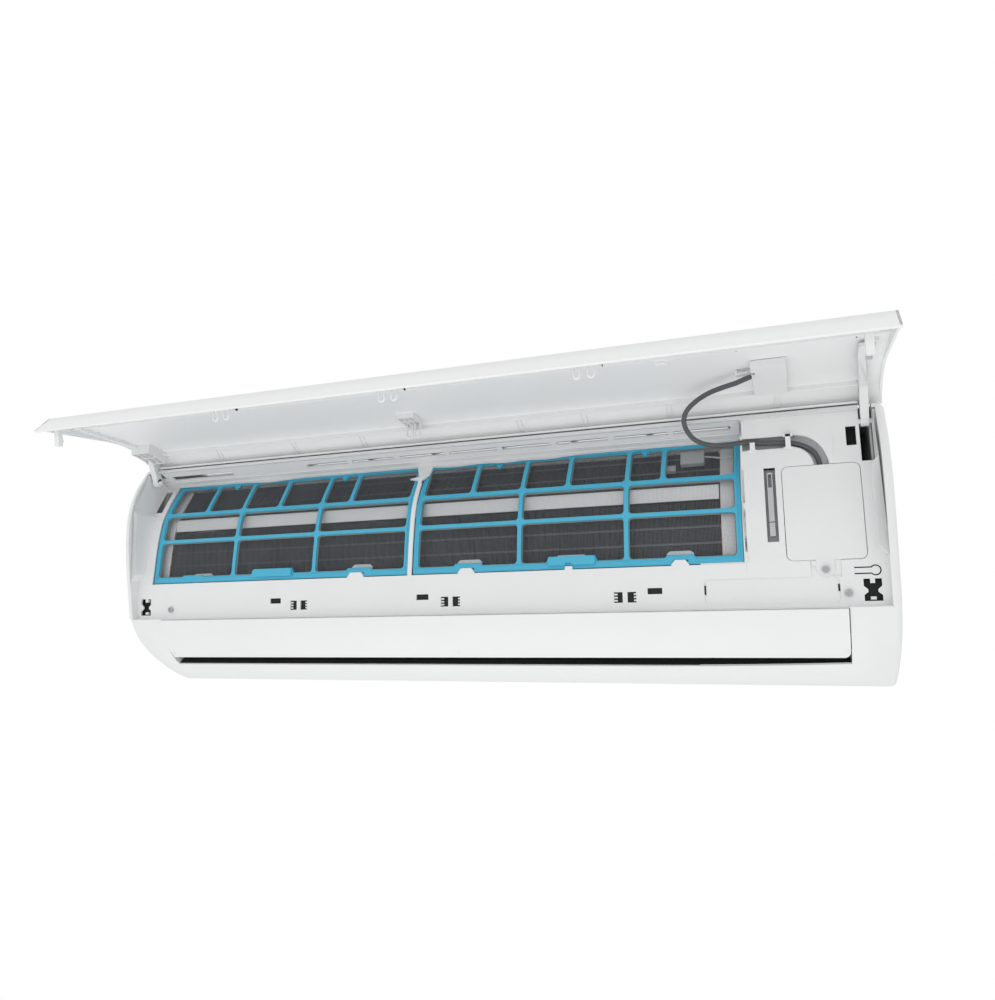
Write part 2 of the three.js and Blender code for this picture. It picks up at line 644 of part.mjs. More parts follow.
function terminalBlock() {
  const z = BOX_LOW + WALL + GAP;
  const x = BOX_LEFT + 32;
  const body = block(x, x + 76, -150, -122, z, z + 20);
  const chambers = [];
  for (let i = 0; i < 5; i += 1) {
    chambers.push(block(x + 5 + i * 14, x + 15 + i * 14, -156, -138, z + 6, z + 26));
  }
  return cut(body, ...chambers);
}

/** Thermistor strip behind the slot beside the cover. */
const roomSensor = () =>
  alongX(strip(portion(BOX_FACE, SENSOR_LOW, SENSOR_HIGH), -8.5, -0.5), SENSOR_LEFT, SENSOR_RIGHT);

/** Sprung tongue over the switch: root at the left, finger end at the right. */
function manualButton() {
  const face = portion(BOX_FACE, BUTTON_Z - 5.5, BUTTON_Z + 5.5);
  const tongue = alongX(strip(face, -2, 0), BUTTON_LEFT, BUTTON_RIGHT);
  const top = portion(BOX_FACE, BUTTON_Z - 4, BUTTON_Z + 4);
  const pad = alongX(strip(top, -0.5, 1), BUTTON_RIGHT - 9, BUTTON_RIGHT - 1);
  return join(tongue, pad);
}

// ---------------------------------------------------------------- coil, pan and pipes
const SLABS = { // outer face (y, z): low end, high end; the air leaves at the other face
  coil_front_lower: [[-172, SILL - 5], [-156, HEIGHT - 101]],
  coil_front_upper: [[-150, HEIGHT - 84], [-116, HEIGHT - 32]],
  coil_rear: [[-74, HEIGHT - 37], [-30, HEIGHT - 97]],
};

/** The four corners of a slab; the air enters at the first two. */
function slabOutline([low, high], grow = 0) {
  const length = Math.hypot(high[0] - low[0], high[1] - low[1]);
  const along = [(high[0] - low[0]) / length, (high[1] - low[1]) / length];
  const inward = [along[1], -along[0]];
  const corner = ([y, z], a, n) => [y + along[0] * a + inward[0] * n, z + along[1] * a + inward[1] * n];
  return [
    corner(low, -grow, COIL_THICK + grow), corner(high, grow, COIL_THICK + grow),
    corner(high, grow, -grow), corner(low, -grow, -grow),
  ];
}

/** Tube places of a slab: two rows, evenly along it. */
function tubes([low, high]) {
  const length = Math.hypot(high[0] - low[0], high[1] - low[1]);
  const along = [(high[0] - low[0]) / length, (high[1] - low[1]) / length];
  const inward = [along[1], -along[0]];
  const count = Math.floor((length - 6) / TUBE_PITCH) + 1;
  const first = (length - (count - 1) * TUBE_PITCH) / 2;
  const places = [];
  for (const row of [0.25, 0.75]) {
    for (let i = 0; i < count; i += 1) {
      const a = first + i * TUBE_PITCH;
      const n = row * COIL_THICK;
      places.push([low[0] + along[0] * a + inward[0] * n, low[1] + along[1] * a + inward[1] * n]);
    }
  }
  return places;
}

/** A hairpin bend between two tubes, standing out from the end plate. */
function returnBend([y0, z0], [y1, z1], x, side, sides, steps) {
  const centre = [(y0 + y1) / 2, (z0 + z1) / 2];
  const half = [(y1 - y0) / 2, (z1 - z0) / 2];
  const radius = Math.hypot(...half);
  const points = [[x - side, y0, z0]];
  for (let i = 0; i <= 4; i += 1) {
    const a = (Math.PI * i) / 4;
    const y = centre[0] - half[0] * Math.cos(a);
    const z = centre[1] - half[1] * Math.cos(a);
    points.push([x + side * (3 + radius * Math.sin(a)), y, z]);
  }
  points.push([x - side, y1, z1]);
  return solid(hose(points, TUBE_RADIUS, sides, steps));
}

/** End plate of the whole coil with the bends that join its tubes in pairs. */
function coilEnd(side, sides, steps) {
  const x = side < 0 ? COIL_LEFT : COIL_RIGHT;
  const span = inOrder(x + side * GAP, x + side * (GAP + BEND_SHEET));
  const outlines = Object.values(SLABS).map((slab) => slabOutline(slab, 1));
  const bridges = [
    [[-156, HEIGHT - 111], [-134, HEIGHT - 115], [-126, HEIGHT - 87], [-149, HEIGHT - 75]],
    [[-117, HEIGHT - 35], [-96, HEIGHT - 59], [-76, HEIGHT - 41], [-92, HEIGHT - 31]],
  ];
  const plates = [...outlines, ...bridges].map((outline) => alongX(outline, ...span));
  const bends = Object.values(SLABS).flatMap((slab) => {
    const places = tubes(slab);
    const row = places.length / 2;
    const pairs = places.slice(0, row).map((place, i) => [place, places[row + i]]);
    if (side > 0 && slab === SLABS.coil_rear) pairs.pop(); // the two pipes join here
    return pairs.map(([a, b]) => returnBend(a, b, span[side < 0 ? 0 : 1], side, sides, steps));
  });
  return join(...plates, ...bends);
}

function drainPan() {
  const outer = [[-188, SILL - 7], [-188, 108], [-156, 108], [-143, 114], [-141.5, 120], [-141.5, 146]];
  const inner = [[-185.5, 151], [-185.5, 131], [-146, 126], [-144, 126], [-144, 151]];
  const x0 = DUCT_LEFT - 3;
  const x1 = DUCT_RIGHT + 4;
  const spigots = [
    rod(8, [x0 + 1, -165, 132], [x0 - 16, -165, 132], 16),
    rod(8, [x1 - 1, -165, 132], [x1 + 16, -165, 132], 16),
  ];
  const bores = [
    rod(6, [x0 + 9, -165, 132], [x0 - 17, -165, 132], 12),
    rod(6, [x1 - 9, -165, 132], [x1 + 17, -165, 132], 12),
  ];
  const seat = [[-171, 129], [-171, 151.2], [-147, 146.7], [-147, 125]]; // carries the lower slab
  const seats = [COIL_LEFT + 2, COIL_RIGHT - 8].map((x) => alongX(seat, x, x + 6));
  const trough = cut(join(alongX(outer, x0, x1), ...spigots), alongX(inner, x0 + 6, x1 - 6));
  return cut(join(trough, ...seats), ...bores, ...vanePlaces().map(({ x }) => vaneSocket(x)));
}

const drainPlug = () => {
  const x = DUCT_RIGHT + 4 + 16 + GAP;
  const cap = rod(9, [x, -165, 132], [x + 5, -165, 132], 16);
  return join(cap, rod(5.4, [x + 1, -165, 132], [x - 12, -165, 132], 12));
};

const PIPES = {
  gas: {
    radius: 6.35,
    route: [
      [-60, -38, 30], [COIL_RIGHT - 48, -38, 30], [COIL_RIGHT + 7, -37, 30], [COIL_RIGHT + 25, -31, 36],
      [COIL_RIGHT + 29.2, -28, 58], [COIL_RIGHT + 29.2, -28, 120], [COIL_RIGHT + 29.2, -28, HEIGHT - 147],
      [COIL_RIGHT + 29.2, -31, HEIGHT - 115], [COIL_RIGHT + 24, -37.5, HEIGHT - 99],
      [COIL_RIGHT + 14, -38.6, HEIGHT - 96.2], [COIL_RIGHT + 3, -38.6, HEIGHT - 96.2],
    ],
  },
  liquid: {
    radius: 3.175,
    route: [
      [10, -38, 12], [COIL_RIGHT - 48, -38, 12], [COIL_RIGHT + 17, -35, 12], [COIL_RIGHT + 37, -25, 18],
      [COIL_RIGHT + 41.5, -20, 40], [COIL_RIGHT + 41.5, -20, 110], [COIL_RIGHT + 41.5, -22, HEIGHT - 172],
      [COIL_RIGHT + 41.5, -36, HEIGHT - 145], [COIL_RIGHT + 36, -46, HEIGHT - 125],
      [COIL_RIGHT + 26, -49, HEIGHT - 108], [COIL_RIGHT + 14, -49.1, HEIGHT - 103.9],
      [COIL_RIGHT + 3, -49.1, HEIGHT - 103.9],
    ],
  },
};

/** A copper stub: flare end in the channel behind the scroll, other end at the coil. */
const pipe = ({ radius, route }) => solid(hose(route, radius, 8, 24));

function flareNut({ radius, route }) {
  const [end, y, z] = route[0];
  const outer = rod(radius + 4.5, [end - GAP, y, z], [end - GAP - 20, y, z], 6);
  return cut(outer, rod(radius - 1, [end + 1, y, z], [end - 30, y, z], 12));
}

/** White strip over the joint of the two front slabs. */
function coilBar() {
  const low = HEIGHT - 99.5;
  const outline = [
    [-160, low], [-156.8, low], [-152.2, low + 16], [-152.2, low + 18.5], [-157.5, low + 18.5],
  ];
  return alongX(outline, COIL_LEFT, COIL_RIGHT);
}

/** Milky holder that clips the coil thermistor on the upper slab, behind the right filter. */
function coilSensorClip() {
  const face = SLABS.coil_front_upper;
  const outline = strip(portion(face, face[1][1] - 22, face[1][1] - 2), GAP, 8);
  return alongX(outline, COIL_RIGHT - 48, COIL_RIGHT - 18);
}

// ---------------------------------------------------------------- fan
function blowerWheel() {
  const length = FAN_RIGHT - FAN_LEFT;
  const discs = [];
  for (let i = 0; i <= 2; i += 1) {
    const x = FAN_LEFT + ((length - FAN_DISC) * i) / 2;
    discs.push(rod(FAN_RADIUS, [x, FAN_Y, FAN_Z], [x + FAN_DISC, FAN_Y, FAN_Z], 20));
  }
  const blades = [];
  for (let i = 0; i < FAN_BLADES; i += 1) {
    const a = (360 * i) / FAN_BLADES;
    const outline = [
      roundFan(a, FAN_RADIUS - 0.5), roundFan(a + 2.4, FAN_RADIUS - 0.5),
      roundFan(a + 13, FAN_RADIUS - 12), roundFan(a + 10.4, FAN_RADIUS - 12),
    ];
    blades.push(alongX(outline, FAN_LEFT + 1, FAN_RIGHT - 1));
  }
  const shafts = [
    rod(SHAFT_RADIUS, [FAN_LEFT - 14, FAN_Y, FAN_Z], [FAN_LEFT + 1, FAN_Y, FAN_Z], 16),
    rod(SHAFT_RADIUS, [FAN_RIGHT - 1, FAN_Y, FAN_Z], [MOTOR_LEFT + 20, FAN_Y, FAN_Z], 16),
  ];
  return join(...discs, ...blades, ...shafts);
}

const MOTOR_LEFT = DUCT_RIGHT + 8;
const MOTOR_LENGTH = 62;
const MOTOR_RADIUS = 43;

function fanMotor() {
  const y = FAN_Y;
  const z = FAN_Z;
  const body = join(
    rod(MOTOR_RADIUS, [MOTOR_LEFT + 6, y, z], [MOTOR_LEFT + MOTOR_LENGTH, y, z], 28),
    rod(MOTOR_RADIUS - 12, [MOTOR_LEFT, y, z], [MOTOR_LEFT + 8, y, z], 24),
    rod(15, [MOTOR_LEFT + MOTOR_LENGTH - 1, y, z], [MOTOR_LEFT + MOTOR_LENGTH + 8, y, z], 20),
  );
  return cut(body, rod(SHAFT_RADIUS + 0.6, [MOTOR_LEFT - 1, y, z], [MOTOR_LEFT + 24, y, z], 16));
}

/** Saddle that clamps the motor to the casing's floor and back. */
function motorClamp() {
  const x0 = MOTOR_LEFT + 16;
  const x1 = x0 + 30;
  const outline = [
    [-15, 20], [-15, 170], [-36, 170], [-36, 150], [-60, 140], [-140, 140], [-140, 104], [-84, 40],
    [-40, 20],
  ];
  const bore = rod(MOTOR_RADIUS + GAP, [x0 - 1, FAN_Y, FAN_Z], [x1 + 1, FAN_Y, FAN_Z], 28);
  return cut(alongX(outline, x0, x1), bore);
}

const BUSH_LEFT = DUCT_LEFT - 9;

function fanBearing() {
  const outer = rod(11, [BUSH_LEFT, FAN_Y, FAN_Z], [BUSH_LEFT + 8, FAN_Y, FAN_Z], 20);
  const bore = rod(SHAFT_RADIUS + 0.5, [BUSH_LEFT + 1.5, FAN_Y, FAN_Z], [BUSH_LEFT + 9, FAN_Y, FAN_Z], 16);
  return cut(outer, bore);
}

function bearingHolder() {
  const x0 = BUSH_LEFT;
  const x1 = BUSH_LEFT + 8;
  const arm = alongX([[-15.5, 70], [-15.5, 150], [-84, 132], [-100, 116], [-84, 98]], x0, x1);
  return cut(join(arm, rod(17, [x0, FAN_Y, FAN_Z], [x1, FAN_Y, FAN_Z], 20)),
    rod(11 + GAP, [x0 - 1, FAN_Y, FAN_Z], [x1 + 1, FAN_Y, FAN_Z], 20));
}

// ---------------------------------------------------------------- air outlet
function louver() {
  const blade = alongX(strip(LOUVER_LINE, -LOUVER_THICK, 0), LOUVER_LEFT, LOUVER_RIGHT);
  const [py, pz] = LOUVER_PIVOT;
  const arm = (x0, x1) => join(
    alongX([[-199, 90], [-181.5, 49.5], [py + 3, pz - 4.5], [py + 4, pz + 3], [-181, 66]], x0, x1),
    rod(4.4, [x0, py, pz], [x1, py, pz], 14),
  );
  const arms = [
    arm(LOUVER_LEFT + 3, LOUVER_LEFT + 6),
    arm(-2, 2),
    arm(LOUVER_RIGHT - 6, LOUVER_RIGHT - 3),
  ];
  const pins = [
    rod(LOUVER_PIN, [LOUVER_LEFT - RUN - WALL - 1, py, pz], [LOUVER_LEFT + 4, py, pz], 12),
    rod(LOUVER_PIN, [LOUVER_RIGHT - 4, py, pz], [LOUVER_RIGHT + RUN + WALL + 7, py, pz], 12),
  ];
  return join(blade, ...arms, ...pins);
}

function louverMotor() {
  const x = LOUVER_RIGHT + RUN + WALL + GAP;
  const [y, z] = LOUVER_PIVOT;
  const body = join(
    rod(12, [x + 3, y + 12, z + 10], [x + 15, y + 12, z + 10], 20),
    rod(4.6, [x, y, z], [x + 4, y, z], 16),
    block(x + 1, x + 5, y - 3.8, y + 12, z - 3.8, z + 12),
  );
  return cut(body, rod(LOUVER_PIN + 0.5, [x - 1, y, z], [x + 8, y, z], 12));
}

/** Upright vanes: two groups, evenly along the outlet. */
function vanePlaces() {
  const places = [];
  for (const group of ['left', 'right']) {
    for (let i = 0; i < VANE_COUNT; i += 1) {
      const middle = group === 'left' ? -1 : 1;
      const first = (DUCT_LEFT + DUCT_RIGHT) / 2 + ((middle - 1) * VANE_COUNT * VANE_PITCH) / 2;
      const x = first + (i + 0.5) * VANE_PITCH;
      places.push({ group, name: `vane_${group}_${i + 1}`, x });
    }
  }
  return places;
}

const vaneSocket = (x) => rod(VANE_PIN + 0.5, [x, VANE_PIVOT_Y, 100], [x, VANE_PIVOT_Y, 118], 8);

/** One vane: blade, pivot pin above it and link pin below it. */
function vane(x) {
  const y = VANE_PIVOT_Y;
  const outline = [[-166, 104], [-142.5, 104], [-137, 84], [-124, 60], [-124, 52.5], [-162, 52.5]];
  const blade = alongX(outline, x - VANE_SHEET / 2, x + VANE_SHEET / 2);
  const pivot = join(rod(VANE_PIN, [x, y, 98], [x, y, 114], 8), rod(2.6, [x, y, 53], [x, y, 104], 8));
  const linkPin = rod(LINK_PIN, [x, y + VANE_ARM, LINK_Z - 0.4], [x, y + VANE_ARM, 55], 8);
  return join(blade, pivot, linkPin);
}

/** Bar that turns a group of vanes together; its slots take each vane's link pin. */
function vaneLink(group) {
  const xs = vanePlaces().filter((p) => p.group === group).map((p) => p.x);
  const y = VANE_PIVOT_Y + VANE_ARM;
  const bar = block(xs[0] - 7, xs[xs.length - 1] + 7, y - 7, y + 5.5, LINK_Z, LINK_Z + LINK_THICK);
  const room = LINK_PIN + 0.7;
  return cut(bar, ...xs.map((x) =>
    block(x - room, x + room, y - 4, y + room, LINK_Z - 1, LINK_Z + LINK_THICK + 1)));
}

// ---------------------------------------------------------------- filters
/** Inner faces of the window between two heights, as an outline through the frame. */
function windowOutline(low, high) {
  const line = portion(FILTER_LINE, low, high);
  return strip(line, -FILTER_THICK - 4, 6);
}

function filterFrame(which) {
  const x0 = filterLeft(which);
  const x1 = x0 + FILTER_WIDTH;
  const frame = alongX(strip(FILTER_LINE, -FILTER_THICK, 0), x0, x1);
  const column = FILTER_WIDTH / 3;
  const half = FILTER_BAR / 2;
  const holes = [];
  const addRow = (low, high, count) => {
    for (let i = 0; i < count; i += 1) {
      const left = i === 0 ? x0 + FILTER_RIM : x0 + (FILTER_WIDTH * i) / count + half;
      const right = i === count - 1 ? x1 - FILTER_RIM : x0 + (FILTER_WIDTH * (i + 1)) / count - half;
      holes.push(alongX(windowOutline(low, high), left, right));
    }
  };
  addRow(FILTER_ROWS[0] + FILTER_FOOT, FILTER_ROWS[1] - half, 3);
  addRow(FILTER_ROWS[1] + half, FILTER_ROWS[2] - half, 3);
  addRow(FILTER_ROWS[2] + half, FILTER_ROWS[3] - FILTER_RIM, 6);
  const handle = alongX(
    strip(portion(FILTER_LINE, FILTER_ROWS[0], FILTER_ROWS[0] + FILTER_FOOT + 5), -FILTER_THICK, 3),
    x0 + column * 1.08, x0 + column * 1.62,
  );
  return join(cut(frame, ...holes), handle);
}

/** The net behind the frame: a bent sheet with an even grid of gaps, skinned cell by cell. */
function filterNet(which) {
  const x0 = filterLeft(which) + 2;
  const x1 = filterLeft(which) + FILTER_WIDTH - 2;
  const acrossWalls = (start, end, count, strand) => {
    const walls = [];
    const pitch = (end - start - strand) / count;
    for (let i = 0; i < count; i += 1) walls.push(start + i * pitch + strand, start + (i + 1) * pitch);
    return walls;
  };
  const across = [x0, ...acrossWalls(x0, x1, NET_COLUMNS, NET_STRAND), x1];
  const up = [FILTER_ROWS[0] + 1];
  NET_ROWS.forEach((count, i) => {
    const low = i === 0 ? FILTER_ROWS[0] + 1 : FILTER_ROWS[i] - NET_STRAND / 2;
    const high = i === 2 ? FILTER_ROWS[3] - 1 : FILTER_ROWS[i + 1] + NET_STRAND / 2;
    up.push(...acrossWalls(low, high, count, NET_STRAND));
  });
  up.push(FILTER_ROWS[3] - 1);
  const line = up.map((z) => [depthAt(FILTER_LINE, z), z]);
  const front = offset(line, -FILTER_THICK - GAP);
  const back = offset(line, -FILTER_THICK - GAP - NET_THICK);
  const index = (i, j, layer) => (layer * up.length + j) * across.length + i;
  const rowOf = ([y, z]) => across.flatMap((x) => [x, y, z]);
  const positions = [...front, ...back].flatMap(rowOf);
  const faces = [];
  const quad = (a, b, c, d) => faces.push(a, b, c, a, c, d);
  const inside = (i, j) => i >= 0 && j >= 0 && i < across.length - 1 && j < up.length - 1;
  const filled = (i, j) => inside(i, j) && !(i % 2 && j % 2);
  for (let i = 0; i < across.length - 1; i += 1) {
    for (let j = 0; j < up.length - 1; j += 1) {
      if (!filled(i, j)) continue;
      const corners = [[i, j], [i + 1, j], [i + 1, j + 1], [i, j + 1]];
      const [a, b, c, d] = corners.map(([m, n]) => index(m, n, 0));
      const [e, f, g, h] = corners.map(([m, n]) => index(m, n, 1));
      quad(a, b, c, d);
      quad(e, h, g, f);
      if (!filled(i - 1, j)) quad(e, a, d, h);
      if (!filled(i + 1, j)) quad(b, f, g, c);
      if (!filled(i, j - 1)) quad(a, e, f, b);
      if (!filled(i, j + 1)) quad(h, d, c, g);
    }
  }
  const geometry = new THREE.BufferGeometry();
  geometry.setAttribute('position', new THREE.Float32BufferAttribute(positions, 3));
  geometry.setIndex(faces);
  return geometry;
}

// ---------------------------------------------------------------- front panel (drawn closed)
function frontPanel() {
  const outer = [PANEL_TIP, PANEL_CHIN, ...PANEL_LINE];
  const inner = offset(outer, -PANEL_WALL);
  const skin = alongX([...outer, ...inner.reverse()], -RIGHT, RIGHT);
  const top = PANEL_LINE[PANEL_LINE.length - 1];
  const flangeX = RIGHT - ARM_INSET - RUN;
  const [hy, hz] = HINGE;
  const lip = [[top[0] - 1, top[1] - 1.5], [hy - 24, hz - 4], [hy - 21, hz - 4], [hy - 21, top[1] - 2.5]];
  const flange = alongX(lip, -flangeX, flangeX);
  const capOutline = [PANEL_TIP, PANEL_CHIN, ...PANEL_LINE, ...[...PANEL_EDGE].reverse()];
  const caps = bothSides((side) =>
    alongX(capOutline, ...inOrder(side * RIGHT, side * (RIGHT - PANEL_WALL))));
  const rib = (low, high, deep) =>
    strip(portion(PANEL_LINE, low, high), -PANEL_WALL - deep, -PANEL_WALL + 0.5);
  const bandRib = alongX(rib(HEIGHT - 37, HEIGHT - 34, 6), -flangeX, flangeX);
  const midRib = alongX(rib(164, 166, 3), -RIGHT + 2, RIGHT - 2);
  const bandOutline = [
    [-209, HEIGHT - 36], [-205, HEIGHT - 28], [-191, HEIGHT - 11], [-187, HEIGHT - 11], [-187, HEIGHT - 22],
    [-196, HEIGHT - 36],
  ];
  const bandRibs = [-396, -260, -146, 94, 183, 293, 424].map((x) =>
    alongX(bandOutline, x - 1, x + 1));
  const stiffeners = bothSides((side) => {
    const x = side * (armX(1) - 1);
    return alongX(rib(160, HEIGHT - 52, 5), x - 1.2, x + 1.2);
  });
  const clips = CLIP_X.flatMap((x) => [-8, 8].map((dx) =>
    block(x + dx - 3, x + dx + 3, -219.5, -198, 118, 120.5)));
  const hooks = LATCH_X.map((x) => join(
    block(x - 4, x + 4, -220.5, -187, 119, 122.5),
    block(x - 4, x + 4, -190, -187, 119, 126),
  ));
  return join(skin, flange, ...caps, bandRib, midRib, ...bandRibs, ...stiffeners, ...clips, ...hooks);
}

/** Arm clipped behind the panel's top edge; it turns on the housing's pin. */
function panelArm(side) {
  const x = armX(side);
  const [hy, hz] = HINGE;
  const seat = portion(PANEL_LINE, hz - 27, hz - 4);
  const pad = strip(seat, -PANEL_WALL - 9, -PANEL_WALL - GAP);
  const half = ARM_WIDTH / 2;
  const bar = [
    [hy, hz + half], [hy - 33, hz - 3], [hy - 38, hz - 12], [hy - 40, hz - 24], [hy - 33, hz - 20],
    [hy, hz - half],
  ];
  const body = join(
    alongX(pad, x - ARM_THICK / 2, x + ARM_THICK / 2),
    alongX(bar, x - ARM_THICK / 2, x + ARM_THICK / 2),
    rod(half + 1, [x - ARM_THICK / 2, hy, hz], [x + ARM_THICK / 2, hy, hz], 18),
  );
  return cut(body, rod(HINGE_PIN + GAP, [x - ARM_THICK, hy, hz], [x + ARM_THICK, hy, hz], 16));
}

/** Middle catch with two fingers, clipped inside the panel's top edge. */
function panelCentreHook() {
  const x = -50;
  const foot = strip(portion(PANEL_LINE, HEIGHT - 81, HEIGHT - 49), -PANEL_WALL - 6, -PANEL_WALL - GAP);
  const base = alongX(foot, x - 11, x + 11);
  const finger = [
    [-213, HEIGHT - 73], [-213, HEIGHT - 51], [-200, HEIGHT - 48], [-191, HEIGHT - 51],
    [-199, HEIGHT - 55], [-207, HEIGHT - 73],
  ];
  const fingers = [-7, 7].map((dx) => alongX(finger, x + dx - 2, x + dx + 2));
  return join(base, ...fingers);
}

const DISPLAY_X = [BOX_START + 21, BOX_START + 59];
const DISPLAY_Z = [HEIGHT - 131, HEIGHT - 41];

function displayHousing() {
  const [x0, x1] = DISPLAY_X;
  const [z0, z1] = DISPLAY_Z;
  const outside = strip(portion(PANEL_LINE, z0, z1), -PANEL_WALL - 9, -PANEL_WALL - GAP);
  const shell = alongX(outside, x0, x1);
  const hollow = strip(portion(PANEL_LINE, z0 + 2, z1 - 2), -PANEL_WALL - 7, -PANEL_WALL + 2);
  const inner = alongX(hollow, x0 + 2, x1 - 2);
  const clipX = x0 - 17;
  const clip = join(
    block(clipX, x0 + 1, -214, -212, z0 + 24, z0 + 32),
    block(clipX, clipX + 2, -218, -212, z0 + 24, z0 + 32),
  );
  const notch = [[-216, z0 + 18], [-216, z0 + 26], [-208, z0 + 26], [-208, z0 + 18]];
  const cableNotch = alongX(notch, x0 - 1, x0 + 4);
  return cut(join(shell, clip), inner, cableNotch);
}

function displayBoard() {
  const [x0, x1] = DISPLAY_X;
  const [z0, z1] = DISPLAY_Z;
  const outline = strip(portion(PANEL_LINE, z0 + 4, z1 - 4), -PANEL_WALL - 3, -PANEL_WALL - 1.2);
  return alongX(outline, x0 + 3, x1 - 3);
}

// ---------------------------------------------------------------- display lead
const CABLE_ROUTE = [
  [467, -165.5, 258], [466.5, -165.5, 267], [465, -165.5, 277], [460, -165.5, 286.5], [450, -165.5, 294],
  [437, -165.5, 298.5], [420, -165.6, 300.5], [402, -166, 301.5], [390, -167, 303], [377, -169, 303.5],
  [364, -172, 302.3], [351, -175, 301.8], [340, -178, 303.2], [328, -181, 308], [320.3, -184, 315],
  [315, -188, 325], [314.2, -193, 335.2], [319.2, -200, 344.1], [328.8, -208, 350.8], [339.4, -216, 355.4],
  [351, -225, 358.3], [366.6, -235, 360.3], [380.7, -243, 361.7], [389.5, -250, 363], [397, -256, 364],
];

// ---------------------------------------------------------------- assembly
place('wall_plate', wallPlate(), PAINT.steel);
place('rear_casing', rearCasing(), PAINT.shell);
place('front_housing', frontHousing(), PAINT.white);
place('drain_pan', drainPan(), PAINT.shell);
place('drain_plug', drainPlug(), PAINT.rubber);
for (const [name, slab] of Object.entries(SLABS)) {
  place(name, alongX(slabOutline(slab), COIL_LEFT, COIL_RIGHT), PAINT.fins);
}
place('coil_bends_left', coilEnd(-1, 4, 4), PAINT.copper);
place('coil_bends_right', coilEnd(1, 4, 5), PAINT.copper);
place('coil_bar', coilBar(), PAINT.white);
place('coil_sensor_clip', coilSensorClip(), PAINT.milky);
place('gas_pipe', pipe(PIPES.gas), PAINT.copper);
place('liquid_pipe', pipe(PIPES.liquid), PAINT.copper);
place('gas_nut', flareNut(PIPES.gas), PAINT.brass);
place('liquid_nut', flareNut(PIPES.liquid), PAINT.brass);
place('blower_wheel', blowerWheel(), PAINT.black);
place('fan_motor', fanMotor(), PAINT.steel);
place('motor_clamp', motorClamp(), PAINT.shell);
place('fan_bearing', fanBearing(), PAINT.rubber);
place('bearing_holder', bearingHolder(), PAINT.shell);
place('electrical_box', electricalBox(), PAINT.shell);
place('electrical_cover', electricalCover(), PAINT.white);
place('circuit_board', circuitBoard(), PAINT.board);
place('terminal_block', terminalBlock(), PAINT.black);
place('room_sensor', roomSensor(), PAINT.grey);
place('manual_button', manualButton(), PAINT.white);
place('frame_screw_left', screw(SCREWS.left[0], FACE_Y, SCREWS.left[1], 4), PAINT.steel);
place('frame_screw_right', screw(SCREWS.right[0], FACE_Y, SCREWS.right[1], 4), PAINT.steel);
place('cover_screw', screw(COVER_SCREW[0], coverY - 2, COVER_SCREW[1], 12), PAINT.steel);
place('screw_cap_left', screwCap(CAP_X[0]), PAINT.white);
place('screw_cap_right', screwCap(CAP_X[1]), PAINT.white);
place('louver', louver(), PAINT.white);
place('louver_motor', louverMotor(), PAINT.white);
for (const { name, x } of vanePlaces()) place(name, vane(x), PAINT.white);
place('vane_link_left', vaneLink('left'), PAINT.white);
place('vane_link_right', vaneLink('right'), PAINT.white);
place('filter_left', filterFrame(0), PAINT.cyan);
place('filter_right', filterFrame(1), PAINT.cyan);
addMesh('filter_net_left', filterNet(0), PAINT.net);
addMesh('filter_net_right', filterNet(1), PAINT.net);
place('front_panel', frontPanel(), PAINT.white, closedPanel);
place('panel_arm_left', panelArm(-1), PAINT.white, closedPanel);
place('panel_arm_right', panelArm(1), PAINT.white, closedPanel);
place('panel_centre_hook', panelCentreHook(), PAINT.white, closedPanel);
place('display_housing', displayHousing(), PAINT.white, closedPanel);
place('display_board', displayBoard(), PAINT.board, closedPanel);
const lead = hose(CABLE_ROUTE, CABLE_DIAMETER / 2, CABLE_SIDES, CABLE_STEPS);
addMesh('display_cable', lead, PAINT.lead);

unit.updateMatrixWorld(true);

export default unit;
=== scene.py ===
"""Finished look of a wall-hung split air conditioner's indoor unit, panel swung up.

Lengths in the classes are millimetres, with heights measured from the underside of the
unit; one function turns them to the row's metres. +X is right, +Y goes into the wall.
"""
import json
import logging
import math
from dataclasses import dataclass, field
from enum import Enum

import bmesh
import bpy
import numpy as np
from mathutils import Matrix, Vector


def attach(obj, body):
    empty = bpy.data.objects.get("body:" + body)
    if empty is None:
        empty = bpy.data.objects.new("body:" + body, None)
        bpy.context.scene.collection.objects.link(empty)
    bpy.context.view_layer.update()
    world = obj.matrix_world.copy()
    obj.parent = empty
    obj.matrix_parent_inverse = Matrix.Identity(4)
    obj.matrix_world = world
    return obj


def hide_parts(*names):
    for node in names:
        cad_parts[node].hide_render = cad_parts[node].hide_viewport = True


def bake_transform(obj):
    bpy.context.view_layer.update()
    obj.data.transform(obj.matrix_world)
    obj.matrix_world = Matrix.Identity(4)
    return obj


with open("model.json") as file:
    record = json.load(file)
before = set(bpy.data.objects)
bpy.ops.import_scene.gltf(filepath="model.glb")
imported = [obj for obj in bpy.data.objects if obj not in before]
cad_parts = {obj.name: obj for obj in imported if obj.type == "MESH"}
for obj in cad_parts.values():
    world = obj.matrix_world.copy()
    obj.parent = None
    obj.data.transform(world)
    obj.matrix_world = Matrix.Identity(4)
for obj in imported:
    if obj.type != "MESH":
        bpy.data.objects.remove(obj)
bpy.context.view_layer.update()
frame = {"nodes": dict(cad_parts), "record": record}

log = logging.getLogger("indoor_unit")

PLATE_MIDDLE = 172.0  # height of the row's origin above the underside
HALF_WIDTH = 540.0
TOP = 337.0
SEAM = 103.0
HINGE = np.array([-165.0, 318.0])
OPEN_ANGLE = math.radians(92.5)
UNCUT = 1e6  # a step so long that nothing is cut into stretches by it


